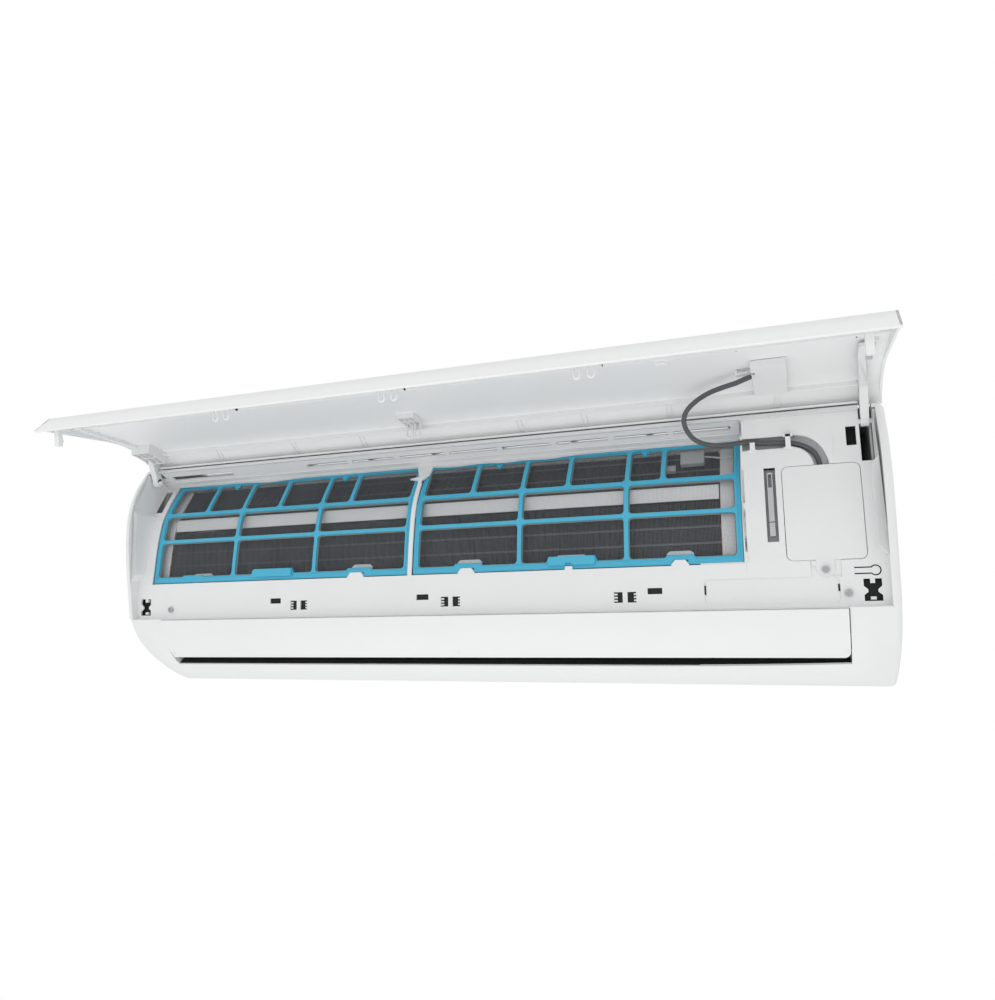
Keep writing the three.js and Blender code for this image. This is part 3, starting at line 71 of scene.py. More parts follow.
# ---------------------------------------------------------------- shapes
def to_row(points: np.ndarray) -> np.ndarray:
    """Turns points in millimetres above the underside to the row's metres.

    Args:
        points: (n, 3) array.

    Returns:
        (n, 3) array in metres, with the wall plate's middle at zero.
    """
    return (np.asarray(points, float) - [0.0, 0.0, PLATE_MIDDLE]) / 1000.0


def opened(points: np.ndarray) -> np.ndarray:
    """Carries points of the closed panel to where the swung-up panel has them.

    Formula: a turn by the opening angle about the hinge line, towards the room and up.

    Args:
        points: (n, 3) array, drawn on the closed panel.

    Returns:
        (n, 3) array on the open panel.
    """
    c, s = math.cos(-OPEN_ANGLE), math.sin(-OPEN_ANGLE)
    y, z = points[:, 1] - HINGE[0], points[:, 2] - HINGE[1]
    return np.stack([points[:, 0], y * c - z * s + HINGE[0], y * s + z * c + HINGE[1]], axis=1)


def spline(knots: list[tuple[float, float]], steps: int) -> np.ndarray:
    """A smooth line through knots.

    Formula: Catmull-Rom cubics with the end knots doubled, evenly stepped in the parameter.

    Args:
        knots: the (y, z) points it passes through.
        steps: how many stretches it is cut into.

    Returns:
        (steps + 1, 2) array.
    """
    p = np.asarray(knots, float)
    t = np.linspace(0.0, len(p) - 1.0, steps + 1)
    i = np.minimum(t.astype(int), len(p) - 2)
    w = (t - i)[:, None]
    a, b, c, d = p[np.maximum(i - 1, 0)], p[i], p[i + 1], p[np.minimum(i + 2, len(p) - 1)]
    v0, v1 = (c - a) / 2, (d - b) / 2
    return (2 * b - 2 * c + v0 + v1) * w**3 + (3 * c - 3 * b - 2 * v0 - v1) * w**2 + v0 * w + b


def offset(line: np.ndarray, distance: float) -> np.ndarray:
    """A (y, z) line moved sideways along its own normals; positive goes into the room.

    Args:
        line: (n, 2) array that climbs.
        distance: millimetres.

    Returns:
        (n, 2) array.
    """
    tangent = np.gradient(line, axis=0)
    tangent /= np.linalg.norm(tangent, axis=1)[:, None]
    return line + distance * np.stack([-tangent[:, 1], tangent[:, 0]], axis=1)


@dataclass
class Shell:
    """One closed surface: points and the faces over them."""

    points: np.ndarray
    faces: list[list[int]]

    def swung(self) -> "Shell":
        """The same faces, carried from the closed panel to the open one."""
        return Shell(opened(self.points), self.faces)


def skin(rings: np.ndarray) -> Shell:
    """Skins rings of points into one closed shell.

    Formula: quads join each ring to the next, and a flat face closes each end.

    Args:
        rings: (r, n, 3) array.

    Returns:
        The closed shell.
    """
    r, n, _ = rings.shape
    i, j = np.meshgrid(np.arange(r - 1), np.arange(n), indexing="ij")
    a, b = i * n + j, i * n + (j + 1) % n
    quads = np.stack([a, b, b + n, a + n], axis=-1).reshape(-1, 4)
    faces = quads.tolist() + [list(range(n))[::-1], list(range((r - 1) * n, r * n))]
    points = rings.reshape(-1, 3)
    volume = signed_volume(points, quads) + signed_volume(points, fan(n, 0, True)) + signed_volume(
        points, fan(n, (r - 1) * n, False)
    )
    if volume < 0:
        faces = [face[::-1] for face in faces]
    return Shell(points, faces)


def fan(count: int, start: int, flipped: bool) -> np.ndarray:
    """Triangles over a flat ring of points, all from its first point."""
    k = np.arange(1, count - 1)
    rows = np.stack([np.zeros_like(k), k, k + 1], axis=1) + start
    return rows[:, ::-1] if flipped else rows


def signed_volume(points: np.ndarray, faces: np.ndarray) -> float:
    """Six times the volume under faces, by the sum of their triangles' triple products."""
    total = 0.0
    for k in range(1, faces.shape[1] - 1):
        a, b, c = points[faces[:, 0]], points[faces[:, k]], points[faces[:, k + 1]]
        total += float(np.einsum("ij,ij->i", a, np.cross(b, c)).sum())
    return total


def along_x(outline: np.ndarray, x0: float, x1: float) -> Shell:
    """An outline in (y, z) carried straight along X."""
    ring = np.column_stack([np.zeros(len(outline)), outline])
    return skin(np.stack([ring + [x0, 0, 0], ring + [x1, 0, 0]]))


def beam(x0: float, x1: float, y0: float, y1: float, z0: float, z1: float) -> Shell:
    """A bar between two corners; its edges are rounded later by the piece's bevel."""
    return along_x(np.array([[y0, z0], [y1, z0], [y1, z1], [y0, z1]]), x0, x1)


def turned(profile: list[tuple[float, float]], start: tuple, end: tuple, sides: int = 32) -> Shell:
    """A lathe-turned form.

    Formula: each (share along, radius) pair of the profile gives a circle round the axis.

    Args:
        profile: (millimetres from start, radius) pairs.
        start: point where the axis begins.
        end: point that the axis heads for.
        sides: points in a circle.

    Returns:
        The closed shell.
    """
    a, axis = np.asarray(start, float), np.asarray(end, float) - np.asarray(start, float)
    axis /= np.linalg.norm(axis)
    side = np.cross(axis, [0.0, 0.0, 1.0] if abs(axis[2]) < 0.9 else [1.0, 0.0, 0.0])
    side /= np.linalg.norm(side)
    other = np.cross(axis, side)
    angle = np.linspace(0, 2 * math.pi, sides, endpoint=False)
    circle = np.cos(angle)[:, None] * side + np.sin(angle)[:, None] * other
    p = np.asarray(profile, float)
    rings = a + p[:, 0, None, None] * axis + p[:, 1, None, None] * circle[None]
    return skin(rings)


def tube(path: np.ndarray, radius: float | np.ndarray, sides: int) -> Shell:
    """A round bar along a path.

    Formula: at each point a circle lies across the path, and its zero direction is the one
    before it with the part along the path taken out, so that the tube doesn't twist.

    Args:
        path: (n, 3) array.
        radius: one radius, or one for each point.
        sides: points in a circle.

    Returns:
        The closed shell.
    """
    tangent = np.gradient(path, axis=0)
    tangent /= np.linalg.norm(tangent, axis=1)[:, None]
    side = np.cross(tangent[0], [0.31, 0.2, 0.93])
    sides_along = []
    for t in tangent:
        side = side - t * np.dot(side, t)
        side = side / np.linalg.norm(side)
        sides_along.append(side)
    u = np.array(sides_along)
    v = np.cross(tangent, u)
    angle = np.linspace(0, 2 * math.pi, sides, endpoint=False)
    r = np.broadcast_to(np.asarray(radius, float), (len(path),))[:, None, None]
    cosine, sine = np.cos(angle)[None, :, None], np.sin(angle)[None, :, None]
    rings = path[:, None] + r * (cosine * u[:, None] + sine * v[:, None])
    return skin(rings)


def smooth_path(knots: list[tuple[float, float, float]], step: float) -> np.ndarray:
    """A smooth path through knots, with points about one step apart.

    Formula: Catmull-Rom cubics through the knots, read off at equal distances.

    Args:
        knots: points it passes through.
        step: millimetres between points.

    Returns:
        (n, 3) array.
    """
    dense = spline(knots, (len(knots) - 1) * 24)
    run = np.concatenate([[0.0], np.cumsum(np.linalg.norm(np.diff(dense, axis=0), axis=1))])
    at = np.linspace(0.0, run[-1], max(int(run[-1] / step), 4) + 1)
    return np.stack([np.interp(at, run, dense[:, k]) for k in range(3)], axis=1)


@dataclass
class Section:
    """A line in (y, z) that pieces are laid along, read by distance or by height."""

    points: np.ndarray

    def __post_init__(self) -> None:
        """Works out the distance along the line and its normals, which point into the room."""
        step = np.linalg.norm(np.diff(self.points, axis=0), axis=1)
        self.run = np.concatenate([[0.0], np.cumsum(step)])
        tangent = np.stack([np.gradient(self.points[:, k], self.run) for k in (0, 1)], axis=1)
        tangent /= np.linalg.norm(tangent, axis=1)[:, None]
        self.normals = np.stack([-tangent[:, 1], tangent[:, 0]], axis=1)

    def at(self, distance: np.ndarray, out: float = 0.0) -> np.ndarray:
        """Points at distances along the line, moved out of it.

        Args:
            distance: millimetres along the line.
            out: millimetres towards the room.

        Returns:
            (..., 2) array of (y, z).
        """

        def read(values: np.ndarray) -> np.ndarray:
            """Values along the line, read at the distances."""
            return np.stack([np.interp(distance, self.run, values[:, k]) for k in (0, 1)], axis=-1)

        normal = read(self.normals)
        normal /= np.linalg.norm(normal, axis=-1, keepdims=True)
        return read(self.points) + out * normal

    def rise(self, height: np.ndarray) -> np.ndarray:
        """Distance along a climbing line at a height."""
        return np.interp(height, self.points[:, 1], self.run)


def fine(edges: list[float], step: float) -> np.ndarray:
    """Sorted edges with even places between them, no more than a step apart."""
    marks = np.unique(np.round(edges, 4))
    counts = np.maximum(np.ceil(np.diff(marks) / step).astype(int), 1)
    parts = [np.linspace(a, b, n, endpoint=False) for a, b, n in zip(marks[:-1], marks[1:], counts)]
    return np.concatenate(parts + [marks[-1:]])


def plate(front: np.ndarray, back: np.ndarray, filled: np.ndarray) -> Shell:
    """A plate with openings, from two grids of points.

    Formula: each filled cell has a face in front and one behind, and a wall stands wherever a
    filled cell has no filled neighbour.

    Args:
        front: (r, c, 3) array; columns run to +X and rows up, seen from the front.
        back: (r, c, 3) array.
        filled: (r - 1, c - 1) array of truth values.

    Returns:
        The closed shell.
    """
    r, c, _ = front.shape
    index = np.arange(r * c).reshape(r, c)
    i, j = np.nonzero(filled)
    corner = np.stack([index[i, j], index[i, j + 1], index[i + 1, j + 1], index[i + 1, j]], axis=1)
    faces = [corner, corner[:, ::-1] + r * c]
    around = np.pad(filled, 1)
    for k, (di, dj) in enumerate([(-1, 0), (0, 1), (1, 0), (0, -1)]):
        bare = ~around[i + 1 + di, j + 1 + dj]
        u, v = corner[bare, k], corner[bare, (k + 1) % 4]
        faces.append(np.stack([v, u, u + r * c, v + r * c], axis=1))
    quads = np.concatenate(faces)
    used, compact = np.unique(quads, return_inverse=True)
    points = np.concatenate([front.reshape(-1, 3), back.reshape(-1, 3)])[used]
    return Shell(points, compact.reshape(quads.shape).tolist())


def grid(section: Section, xs: np.ndarray, rows: np.ndarray, out: float) -> np.ndarray:
    """Points of a section line at many places along X.

    Args:
        section: the line.
        xs: (c,) places along X.
        rows: (r,) distances along the line, or (r, c) with one column for each place.
        out: millimetres towards the room.

    Returns:
        (r, c, 3) array.
    """
    spread = np.broadcast_to(rows if rows.ndim == 2 else rows[:, None], (rows.shape[0], len(xs)))
    line = section.at(spread, out)
    return np.concatenate([np.broadcast_to(xs, spread.shape)[..., None], line], axis=-1)


def pierced(section: Section, span: tuple[float, float], rows: tuple[float, float], back: float, front: float,
            holes: list[tuple[float, float, float, float]] = (), step: float = 7.0) -> Shell:
    """A plate laid along a section line, with rectangular openings.

    Args:
        section: the line.
        span: left and right end.
        rows: first and last distance along the line.
        back: offset of its back.
        front: offset of its front.
        holes: (left, right, first row, last row) of each opening.
        step: largest distance between rows.

    Returns:
        The closed shell.
    """
    xs = fine([*span, *held([x for h in holes for x in h[:2]], *span)], UNCUT)
    ss = fine([*rows, *held([y for h in holes for y in h[2:]], *rows)], step)
    mx, ms = (xs[:-1] + xs[1:]) / 2, (ss[:-1] + ss[1:]) / 2
    filled = np.ones((len(ms), len(mx)), bool)
    for x0, x1, s0, s1 in holes:
        filled &= ~(((ms > s0) & (ms < s1))[:, None] & ((mx > x0) & (mx < x1))[None])
    return plate(grid(section, xs, ss, front), grid(section, xs, ss, back), filled)


def held(values: list[float], low: float, high: float) -> list[float]:
    """Values kept between a low and a high one."""
    return [min(max(v, low), high) for v in values]


def stretch(section: Section, low: float, high: float) -> tuple[float, float]:
    """Distances along a section line at two heights."""
    return float(section.rise(low)), float(section.rise(high))


def by_height(section: Section, holes: list[tuple[float, float, float, float]]) -> list:
    """Openings given by heights, as openings given by distance along the line."""
    return [(a, b, *stretch(section, c, d)) for a, b, c, d in holes]


def oblong(x0: float, x1: float, z0: float, z1: float) -> list[tuple[float, float]]:
    """The four corners of an upright rectangle in (x, height)."""
    return [(x0, z0), (x1, z0), (x1, z1), (x0, z1)]


def curtain(section: Section, xs: np.ndarray, low: np.ndarray, high: np.ndarray, back: float, front: float,
            rows: int = 10) -> Shell:
    """A plate whose lower and upper edge follow heights, one for each place along X."""
    share = np.linspace(0.0, 1.0, rows + 1)[:, None]
    heights = low[None] + share * (high - low)[None]
    ss = section.rise(heights)
    filled = np.ones((rows, len(xs) - 1), bool)
    return plate(grid(section, xs, ss, front), grid(section, xs, ss, back), filled)


def laid(outline: np.ndarray, section: Section, out: float) -> np.ndarray:
    """An outline in (x, height) laid on a climbing section line."""
    outline = np.asarray(outline, float)
    return np.column_stack([outline[:, 0], section.at(section.rise(outline[:, 1]), out)])


def relief(outline: list | np.ndarray, section: Section, back: float, front: float) -> Shell:
    """A flat piece of a given outline on a section line, between two offsets."""
    return skin(np.stack([laid(outline, section, back), laid(outline, section, front)]))


def collar(outer: np.ndarray, inner: np.ndarray, section: Section, back: float, front: float) -> Shell:
    """A flat ring between two outlines that have as many points as each other."""
    n = len(outer)
    loops = np.stack([
        laid(outer, section, back), laid(outer, section, front), laid(inner, section, front),
        laid(inner, section, back),
    ])
    i, j = np.meshgrid(np.arange(4), np.arange(n), indexing="ij")
    a, b = i * n + j, i * n + (j + 1) % n
    up = ((i + 1) % 4) * n
    faces = np.stack([a, b, up + (j + 1) % n, up + j], axis=-1).reshape(-1, 4)
    points = loops.reshape(-1, 3)
    if signed_volume(points, faces) < 0:
        faces = faces[:, ::-1]
    return Shell(points, faces.tolist())


def rounded(
    x0: float, x1: float, z0: float, z1: float, radius: float, steps: int = 4, sides: int = 5
) -> np.ndarray:
    """A rectangle with quarter-round corners.

    Formula: each corner is a quarter circle about a point that lies a radius inside it, and
    the straight sides are cut into even stretches.

    Args:
        x0: left.
        x1: right.
        z0: low.
        z1: high.
        radius: of the corners.
        steps: stretches in a corner.
        sides: stretches in a straight side.

    Returns:
        (n, 2) array.
    """
    centres = [(x1 - radius, z0 + radius), (x1 - radius, z1 - radius), (x0 + radius, z1 - radius),
               (x0 + radius, z0 + radius)]
    corners = []
    for k, (cx, cz) in enumerate(centres):
        a = np.linspace(k - 1, k, steps + 1) * math.pi / 2
        corners.append(np.stack([cx + radius * np.cos(a), cz + radius * np.sin(a)], axis=1))
    parts = []
    for k, arc in enumerate(corners):
        after = corners[(k + 1) % 4][0]
        straight = arc[-1] + np.linspace(0, 1, sides + 1)[1:-1, None] * (after - arc[-1])
        parts += [arc, straight]
    return np.concatenate(parts)


def corners(section: Section, x0: float, x1: float, z0: float, z1: float, radius: float, back: float,
            front: float) -> list[Shell]:
    """Fillings that round the four corners of a rectangular opening."""
    shells = []
    for x, sx in ((x0, 1), (x1, -1)):
        for z, sz in ((z0, 1), (z1, -1)):
            a = np.linspace(0.0, math.pi / 2, 6)
            arc = np.column_stack([
                x + sx * radius * (1 - np.cos(a)), z + sz * radius * (1 - np.sin(a))
            ])
            out = np.array([[x - sx * 0.3, z - sz * 0.3], [x - sx * 0.3, z + sz * radius]])
            end = np.array([[x + sx * radius, z - sz * 0.3]])
            shells.append(relief(np.concatenate([out, arc, end]), section, back, front))
    return shells


def bend(
    start: tuple[float, float], middle: tuple[float, float], end: tuple[float, float], steps: int = 8
) -> list[list[float]]:
    """A quadratic curve in (x, z) from start to end that heads for middle first."""
    t = np.linspace(0.0, 1.0, steps + 1)[:, None]
    a, b, c = (np.asarray(p, float) for p in (start, middle, end))
    return ((1 - t) ** 2 * a + 2 * t * (1 - t) * b + t**2 * c).tolist()


def horseshoe(x: float, z: float, root: float, tip: float, half: float, radius: float) -> Shell:
    """A U of round bar that stands out along Y, from its root to the round of its tip."""
    turn = np.linspace(0.0, math.pi, 9)
    arc = [(x + half * math.cos(a), tip - half + half * math.sin(a), z) for a in turn]
    path = np.array([(x + half, root, z), *arc, (x - half, root, z)])
    return tube(path, radius, 10)


# ---------------------------------------------------------------- finishes
def linear(code: str) -> tuple[float, float, float, float]:
    """An sRGB hex colour as linear numbers with full alpha."""
    parts = [int(code[i : i + 2], 16) / 255 for i in (1, 3, 5)]
    r, g, b = (c / 12.92 if c <= 0.04045 else ((c + 0.055) / 1.055) ** 2.4 for c in parts)
    return (r, g, b, 1.0)


def add_node(tree: bpy.types.NodeTree, kind: str, settings: dict | None = None, **inputs) -> bpy.types.Node:
    """Adds a node, with its settings, values and links.

    Args:
        tree: the material's or world's node tree.
        kind: the node's type name.
        settings: attributes of the node.
        inputs: input name (spaces as underscores, or i0, i1 for a numbered one) to a value
            or to the output socket that feeds it.

    Returns:
        The new node.
    """
    made = tree.nodes.new(kind)
    for key, value in (settings or {}).items():
        setattr(made, key, value)
    for key, value in inputs.items():
        numbered = key[0] == "i" and key[1:].isdigit()
        target = made.inputs[int(key[1:]) if numbered else key.replace("_", " ")]
        if isinstance(value, bpy.types.NodeSocket):
            tree.links.new(value, target)
        else:
            target.default_value = value
    return made


class Pattern(Enum):
    """What the making of a surface leaves for the eye."""

    MOULDED = "moulded"
    DRAWN = "drawn"
    SPANGLED = "spangled"
    FINNED = "finned"
    WOVEN = "woven"
    PRINTED = "printed"
    SLEEVED = "sleeved"


# patterns whose cells or ribs also carry the second colour
TINTED = (Pattern.SPANGLED, Pattern.PRINTED, Pattern.WOVEN, Pattern.FINNED, Pattern.SLEEVED)
WIPED = 14.0  # millimetres across one patch of slightly different gloss
GLOSS_SPREAD = 0.03  # how far roughness wanders either way, and its least value
WAVE_STEP = 0.314  # Blender's wave repeats every 0.314 / scale


@dataclass(frozen=True)
class Finish:
    """A material: what it is made of and how its surface was made."""

    name: str
    colour: str
    second: str  # colour of its clouds, scuffs or cells
    roughness: float
    pattern: Pattern
    grain: float  # millimetres from one grain to the next
    relief: float  # millimetres from valley to peak
    metallic: float = 0.0
    ior: float = 1.5
    cloud: float = 70.0  # millimetres across one cloud of colour
    share: float = 0.35  # how much of the second colour shows

    def made(self) -> bpy.types.Material:
        """The Blender material, made once."""
        found = bpy.data.materials.get(self.name)
        if found is not None:
            return found
        material = bpy.data.materials.new(self.name)
        material.use_nodes = True
        tree = material.node_tree
        tree.nodes.clear()
        where = add_node(tree, "ShaderNodeTexCoord")
        space = add_node(
            tree, "ShaderNodeMapping", Vector=where.outputs["Object"], Scale=(1000.0, 1000.0, 1000.0)
        ).outputs["Vector"]
        colour, height, rough = self.surface(tree, space)
        bump = add_node(tree, "ShaderNodeBump", Height=height, Distance=self.relief / 1000.0, Strength=1.0)
        shader = add_node(
            tree, "ShaderNodeBsdfPrincipled", Base_Color=colour, Roughness=rough,
            Normal=bump.outputs["Normal"], Metallic=self.metallic,
        )
        if self.metallic == 0.0:
            shader.inputs["IOR"].default_value = self.ior
        add_node(tree, "ShaderNodeOutputMaterial", Surface=shader.outputs["BSDF"])
        material.diffuse_color = linear(self.colour)
        return material

    def surface(self, tree: bpy.types.NodeTree, space: bpy.types.NodeSocket) -> tuple:
        """Colour, height and roughness sockets of the finish.

        Args:
            tree: the material's node tree.
            space: object coordinates in millimetres.

        Returns:
            Three output sockets.
        """
        clouds = add_node(
            tree, "ShaderNodeTexNoise", Vector=space, Scale=1.0 / self.cloud, Detail=3.0, Roughness=0.6
        )
        grain = self.grain_height(tree, space)
        tint = add_node(
            tree, "ShaderNodeMapRange", Value=clouds.outputs["Fac"], From_Min=0.35, From_Max=0.75,
            To_Min=0.0, To_Max=self.share,
        )
        weight = tint.outputs["Result"]
        if self.pattern in TINTED:
            both = add_node(tree, "ShaderNodeMath", {"operation": "MULTIPLY"}, i0=grain, i1=self.share)
            weight = add_node(
                tree, "ShaderNodeMath", {"operation": "ADD", "use_clamp": True}, i0=both.outputs[0], i1=weight
            ).outputs[0]
        colour = add_node(
            tree, "ShaderNodeMix", {"data_type": "RGBA"}, i0=weight, i6=linear(self.colour),
            i7=linear(self.second),
        ).outputs[2]
        wipe = add_node(
            tree, "ShaderNodeTexNoise", Vector=space, Scale=1.0 / WIPED, Detail=4.0, Roughness=0.7,
            Distortion=0.6,
        )
        rough = add_node(
            tree, "ShaderNodeMapRange", Value=wipe.outputs["Fac"], From_Min=0.3, From_Max=0.7,
            To_Min=max(self.roughness - GLOSS_SPREAD, GLOSS_SPREAD), To_Max=self.roughness + GLOSS_SPREAD,
        )
        return colour, grain, rough.outputs["Result"]

    def grain_height(self, tree: bpy.types.NodeTree, space: bpy.types.NodeSocket) -> bpy.types.NodeSocket:
        """Height socket of the pattern that the making leaves."""
        if self.pattern is Pattern.MOULDED:
            node = add_node(tree, "ShaderNodeTexNoise", Vector=space, Scale=1.0 / self.grain, Detail=2.0)
            return node.outputs["Fac"]
        if self.pattern is Pattern.DRAWN:
            long = add_node(tree, "ShaderNodeMapping", Vector=space, Scale=(0.03, 1.0, 1.0))
            node = add_node(
                tree, "ShaderNodeTexNoise", Vector=long.outputs["Vector"], Scale=1.0 / self.grain, Detail=3.0
            )
            return node.outputs["Fac"]
        if self.pattern in (Pattern.SPANGLED, Pattern.PRINTED):
            node = add_node(tree, "ShaderNodeTexVoronoi", Vector=space, Scale=1.0 / self.grain)
            return add_node(tree, "ShaderNodeRGBToBW", Color=node.outputs["Color"]).outputs["Val"]
        axis = "DIAGONAL" if self.pattern is Pattern.SLEEVED else "X"
        node = add_node(
            tree, "ShaderNodeTexWave", {"bands_direction": axis}, Vector=space, Scale=WAVE_STEP / self.grain,
            Distortion=0.4, Detail=1.0,
        )
        return node.outputs["Fac"]


# ABS, moulded in a spark-eroded tool: white with the faintest pearly clouds and a fine grain.
WHITE_ABS = Finish("white_abs_moulded", "#EAEBEB", "#E4E5E6", 0.42, Pattern.MOULDED, 0.5, 0.008, ior=1.54)
# ABS, polished tool: the outer face of panel and belly, smoother than the inside.
PANEL_ABS = Finish("white_abs_polished", "#F2F3F3", "#EEEFF0", 0.38, Pattern.MOULDED, 0.9, 0.004, ior=1.54)
# Polystyrene, moulded in a rough tool: flat white with faint flow marks.
SHELL_PS = Finish(
    "white_polystyrene_moulded", "#E2E4E5", "#D3D6D8", 0.52, Pattern.MOULDED, 0.8, 0.03, ior=1.59
)
# Polypropylene coloured in the mass: clean cyan that goes a little deeper in thick places.
CYAN_PP = Finish(
    "cyan_polypropylene_moulded", "#49B6D6", "#3FABCC", 0.34, Pattern.MOULDED, 0.6, 0.015, ior=1.49
)
# Polyester net: fine grey threads, woven square.
NET_THREAD = Finish("grey_polyester_thread", "#9A9DA0", "#7C8084", 0.7, Pattern.WOVEN, 0.5, 0.02, ior=1.57)
# Aluminium strip stamped into fins; its dark grey is painted shade, the shade deep inside the coil.
FIN_STRIP_SHADED = Finish(
    "aluminium_fins_painted_shade", "#5E6165", "#45484C", 0.45, Pattern.DRAWN, 0.6, 0.02, metallic=0.6
)
# Tube collars between the fins, seen as pale lines.
FIN_COLLAR = Finish("aluminium_collars", "#85898D", "#6C7074", 0.45, Pattern.DRAWN, 0.9, 0.02, metallic=0.5)
# Aluminium deep behind the fins, in their shade.
FIN_DEPTH = Finish(
    "coated_aluminium_shade", "#3A3D41", "#26282B", 0.6, Pattern.FINNED, 0.9, 0.05, metallic=0.4
)
# Copper tube, drawn, with brown patches of oxide.
COPPER = Finish(
    "drawn_copper_tube", "#B8734A", "#8A5236", 0.3, Pattern.DRAWN, 0.9, 0.02, metallic=1.0, cloud=16.0
)
# Brass, turned on a lathe.
BRASS = Finish("turned_brass", "#C2A45C", "#A98B45", 0.26, Pattern.DRAWN, 0.4, 0.02, metallic=1.0, cloud=10.0)
# Steel sheet dipped in zinc: crystals of about 7 mm that catch the light in turn.
ZINC = Finish("galvanised_steel_sheet", "#B3B8BC", "#98A0A6", 0.38, Pattern.SPANGLED, 7.0, 0.01, metallic=0.9)
# Steel screw, zinc plated and bright.
SCREW_STEEL = Finish(
    "zinc_plated_steel", "#B9BDC0", "#8F9498", 0.3, Pattern.DRAWN, 0.5, 0.02, metallic=1.0, cloud=5.0
)
# Glass-filled ABS, black, matt from its fibres.
BLACK_ABS = Finish("black_glass_filled_abs", "#242628", "#34373A", 0.5, Pattern.MOULDED, 0.5, 0.03, ior=1.54)
# Rubber, moulded, with a dusty bloom.
RUBBER = Finish("black_rubber_moulded", "#2E2F30", "#4A4B4C", 0.85, Pattern.MOULDED, 0.8, 0.04, ior=1.52)
# Vinyl sleeve over a bundle of wires: dark grey with a silky sheen.
LEAD_SLEEVE = Finish("grey_vinyl_sleeve", "#4B4D50", "#5C5E61", 0.42, Pattern.SLEEVED, 0.8, 0.03, ior=1.53)
# Glass-fibre laminate with green resist over copper tracks.
LAMINATE = Finish("green_laminate_board", "#2B6A45", "#4E8A5C", 0.4, Pattern.PRINTED, 3.0, 0.04, ior=1.5)
# Nylon without pigment: milky, a little grey.
MILKY_NYLON = Finish("milky_nylon_moulded", "#C3C7C8", "#AEB3B5", 0.3, Pattern.MOULDED, 0.7, 0.02, ior=1.53)
# ABS, grey, for the upright vanes.
GREY_ABS = Finish("grey_abs_moulded", "#8B8F93", "#7A7E82", 0.45, Pattern.MOULDED, 0.5, 0.02, ior=1.54)
# ABS, pale grey: the sensor's tongue; on the floor of the lead's groove and in the well behind the sensor the
# grey is partly its own colour and partly painted shade.
GREY_ABS_AND_SHADE = Finish(
    "pale_grey_abs_and_shade", "#BDBFC1", "#AFB1B3", 0.45, Pattern.MOULDED, 0.5, 0.02, ior=1.54
)
# Edge of the net where the frame was moulded over it: a greyish brown film.
NET_BORDER = Finish("net_edge_film", "#8F8781", "#7B746F", 0.6, Pattern.MOULDED, 0.5, 0.02, ior=1.5)
# Painted shade: near-black sheets put behind the case's openings, on the outlet lip's inner slope and in the
# panel's holes, where only shade is seen.
PAINTED_SHADE = Finish("painted_shade_black", "#1C1D1E", "#2A2B2C", 0.8, Pattern.MOULDED, 2.0, 0.02)


# ---------------------------------------------------------------- pieces
class Body(Enum):
    """The rigid bodies that pieces ride on."""

    CHASSIS = "chassis"
    PANEL = "panel"
    LOUVER = "louver"
    FAN = "fan"
    FILTER_LEFT = "filter_left"
    FILTER_RIGHT = "filter_right"


NODE_BODY = {n: b for b, ns in frame["record"]["behaviour"]["bodies"].items() for n in ns}
NODE_SLOT = {s["node"]: s["material_slot"] for s in frame["record"]["subparts"]}


def round_edges(piece: bpy.types.Object, width: float, segments: int = 2) -> None:
    """Rounds the sharp edges of a piece and keeps its flat faces flat.

    Args:
        piece: the object.
        width: millimetres.
        segments: faces across a rounded edge.
    """
    bevel = piece.modifiers.new("edges", "BEVEL")
    bevel.width = width / 1000.0
    bevel.segments = segments
    bevel.limit_method = "ANGLE"
    bevel.angle_limit = math.radians(38)
    bevel.harden_normals = True
    bevel.use_clamp_overlap = True
    bevel.miter_outer = "MITER_ARC"


def mark_sharp(bm: bmesh.types.BMesh, angle: float = 32.0) -> None:
    """Smooths every face and splits the shading where two faces meet at more than angle."""
    for face in bm.faces:
        face.smooth = True
    for edge in bm.edges:
        edge.smooth = len(edge.link_faces) == 2 and edge.calc_face_angle(4.0) < math.radians(angle)


def piece(
    name: str, shells: list[Shell], finish: Finish, body: Body | str | None, bevel: float = 0.0,
    segments: int = 2, nodes: tuple[str, ...] = (), slot: str | None = None,
) -> bpy.types.Object:
    """Makes one object of closed shells and lets it ride on a body.

    Args:
        name: the object's name.
        shells: closed surfaces in millimetres.
        finish: its material.
        body: the body it rides on, or None for one that bends or stands apart.
        bevel: width of its rounded edges in millimetres, or 0.
        segments: faces across a rounded edge.
        nodes: CAD nodes that it stands for.
        slot: material slot of the record; not used.

    Returns:
        The object.
    """
    mesh = bpy.data.meshes.new(name)
    counts = np.cumsum([0] + [len(s.points) for s in shells])
    points = to_row(np.concatenate([s.points for s in shells]))
    faces = [[v + int(c) for v in face] for s, c in zip(shells, counts) for face in s.faces]
    mesh.from_pydata(points.tolist(), [], faces)
    bm = bmesh.new()
    bm.from_mesh(mesh)
    mark_sharp(bm)
    bm.to_mesh(mesh)
    bm.free()
    made = bpy.data.objects.new(name, mesh)
    bpy.context.scene.collection.objects.link(made)
    mesh.materials.append(finish.made())
    if bevel:
        round_edges(made, bevel, segments)
    if nodes:
        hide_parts(*nodes)
    if body:
        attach(made, body.value if isinstance(body, Body) else body)
    return made


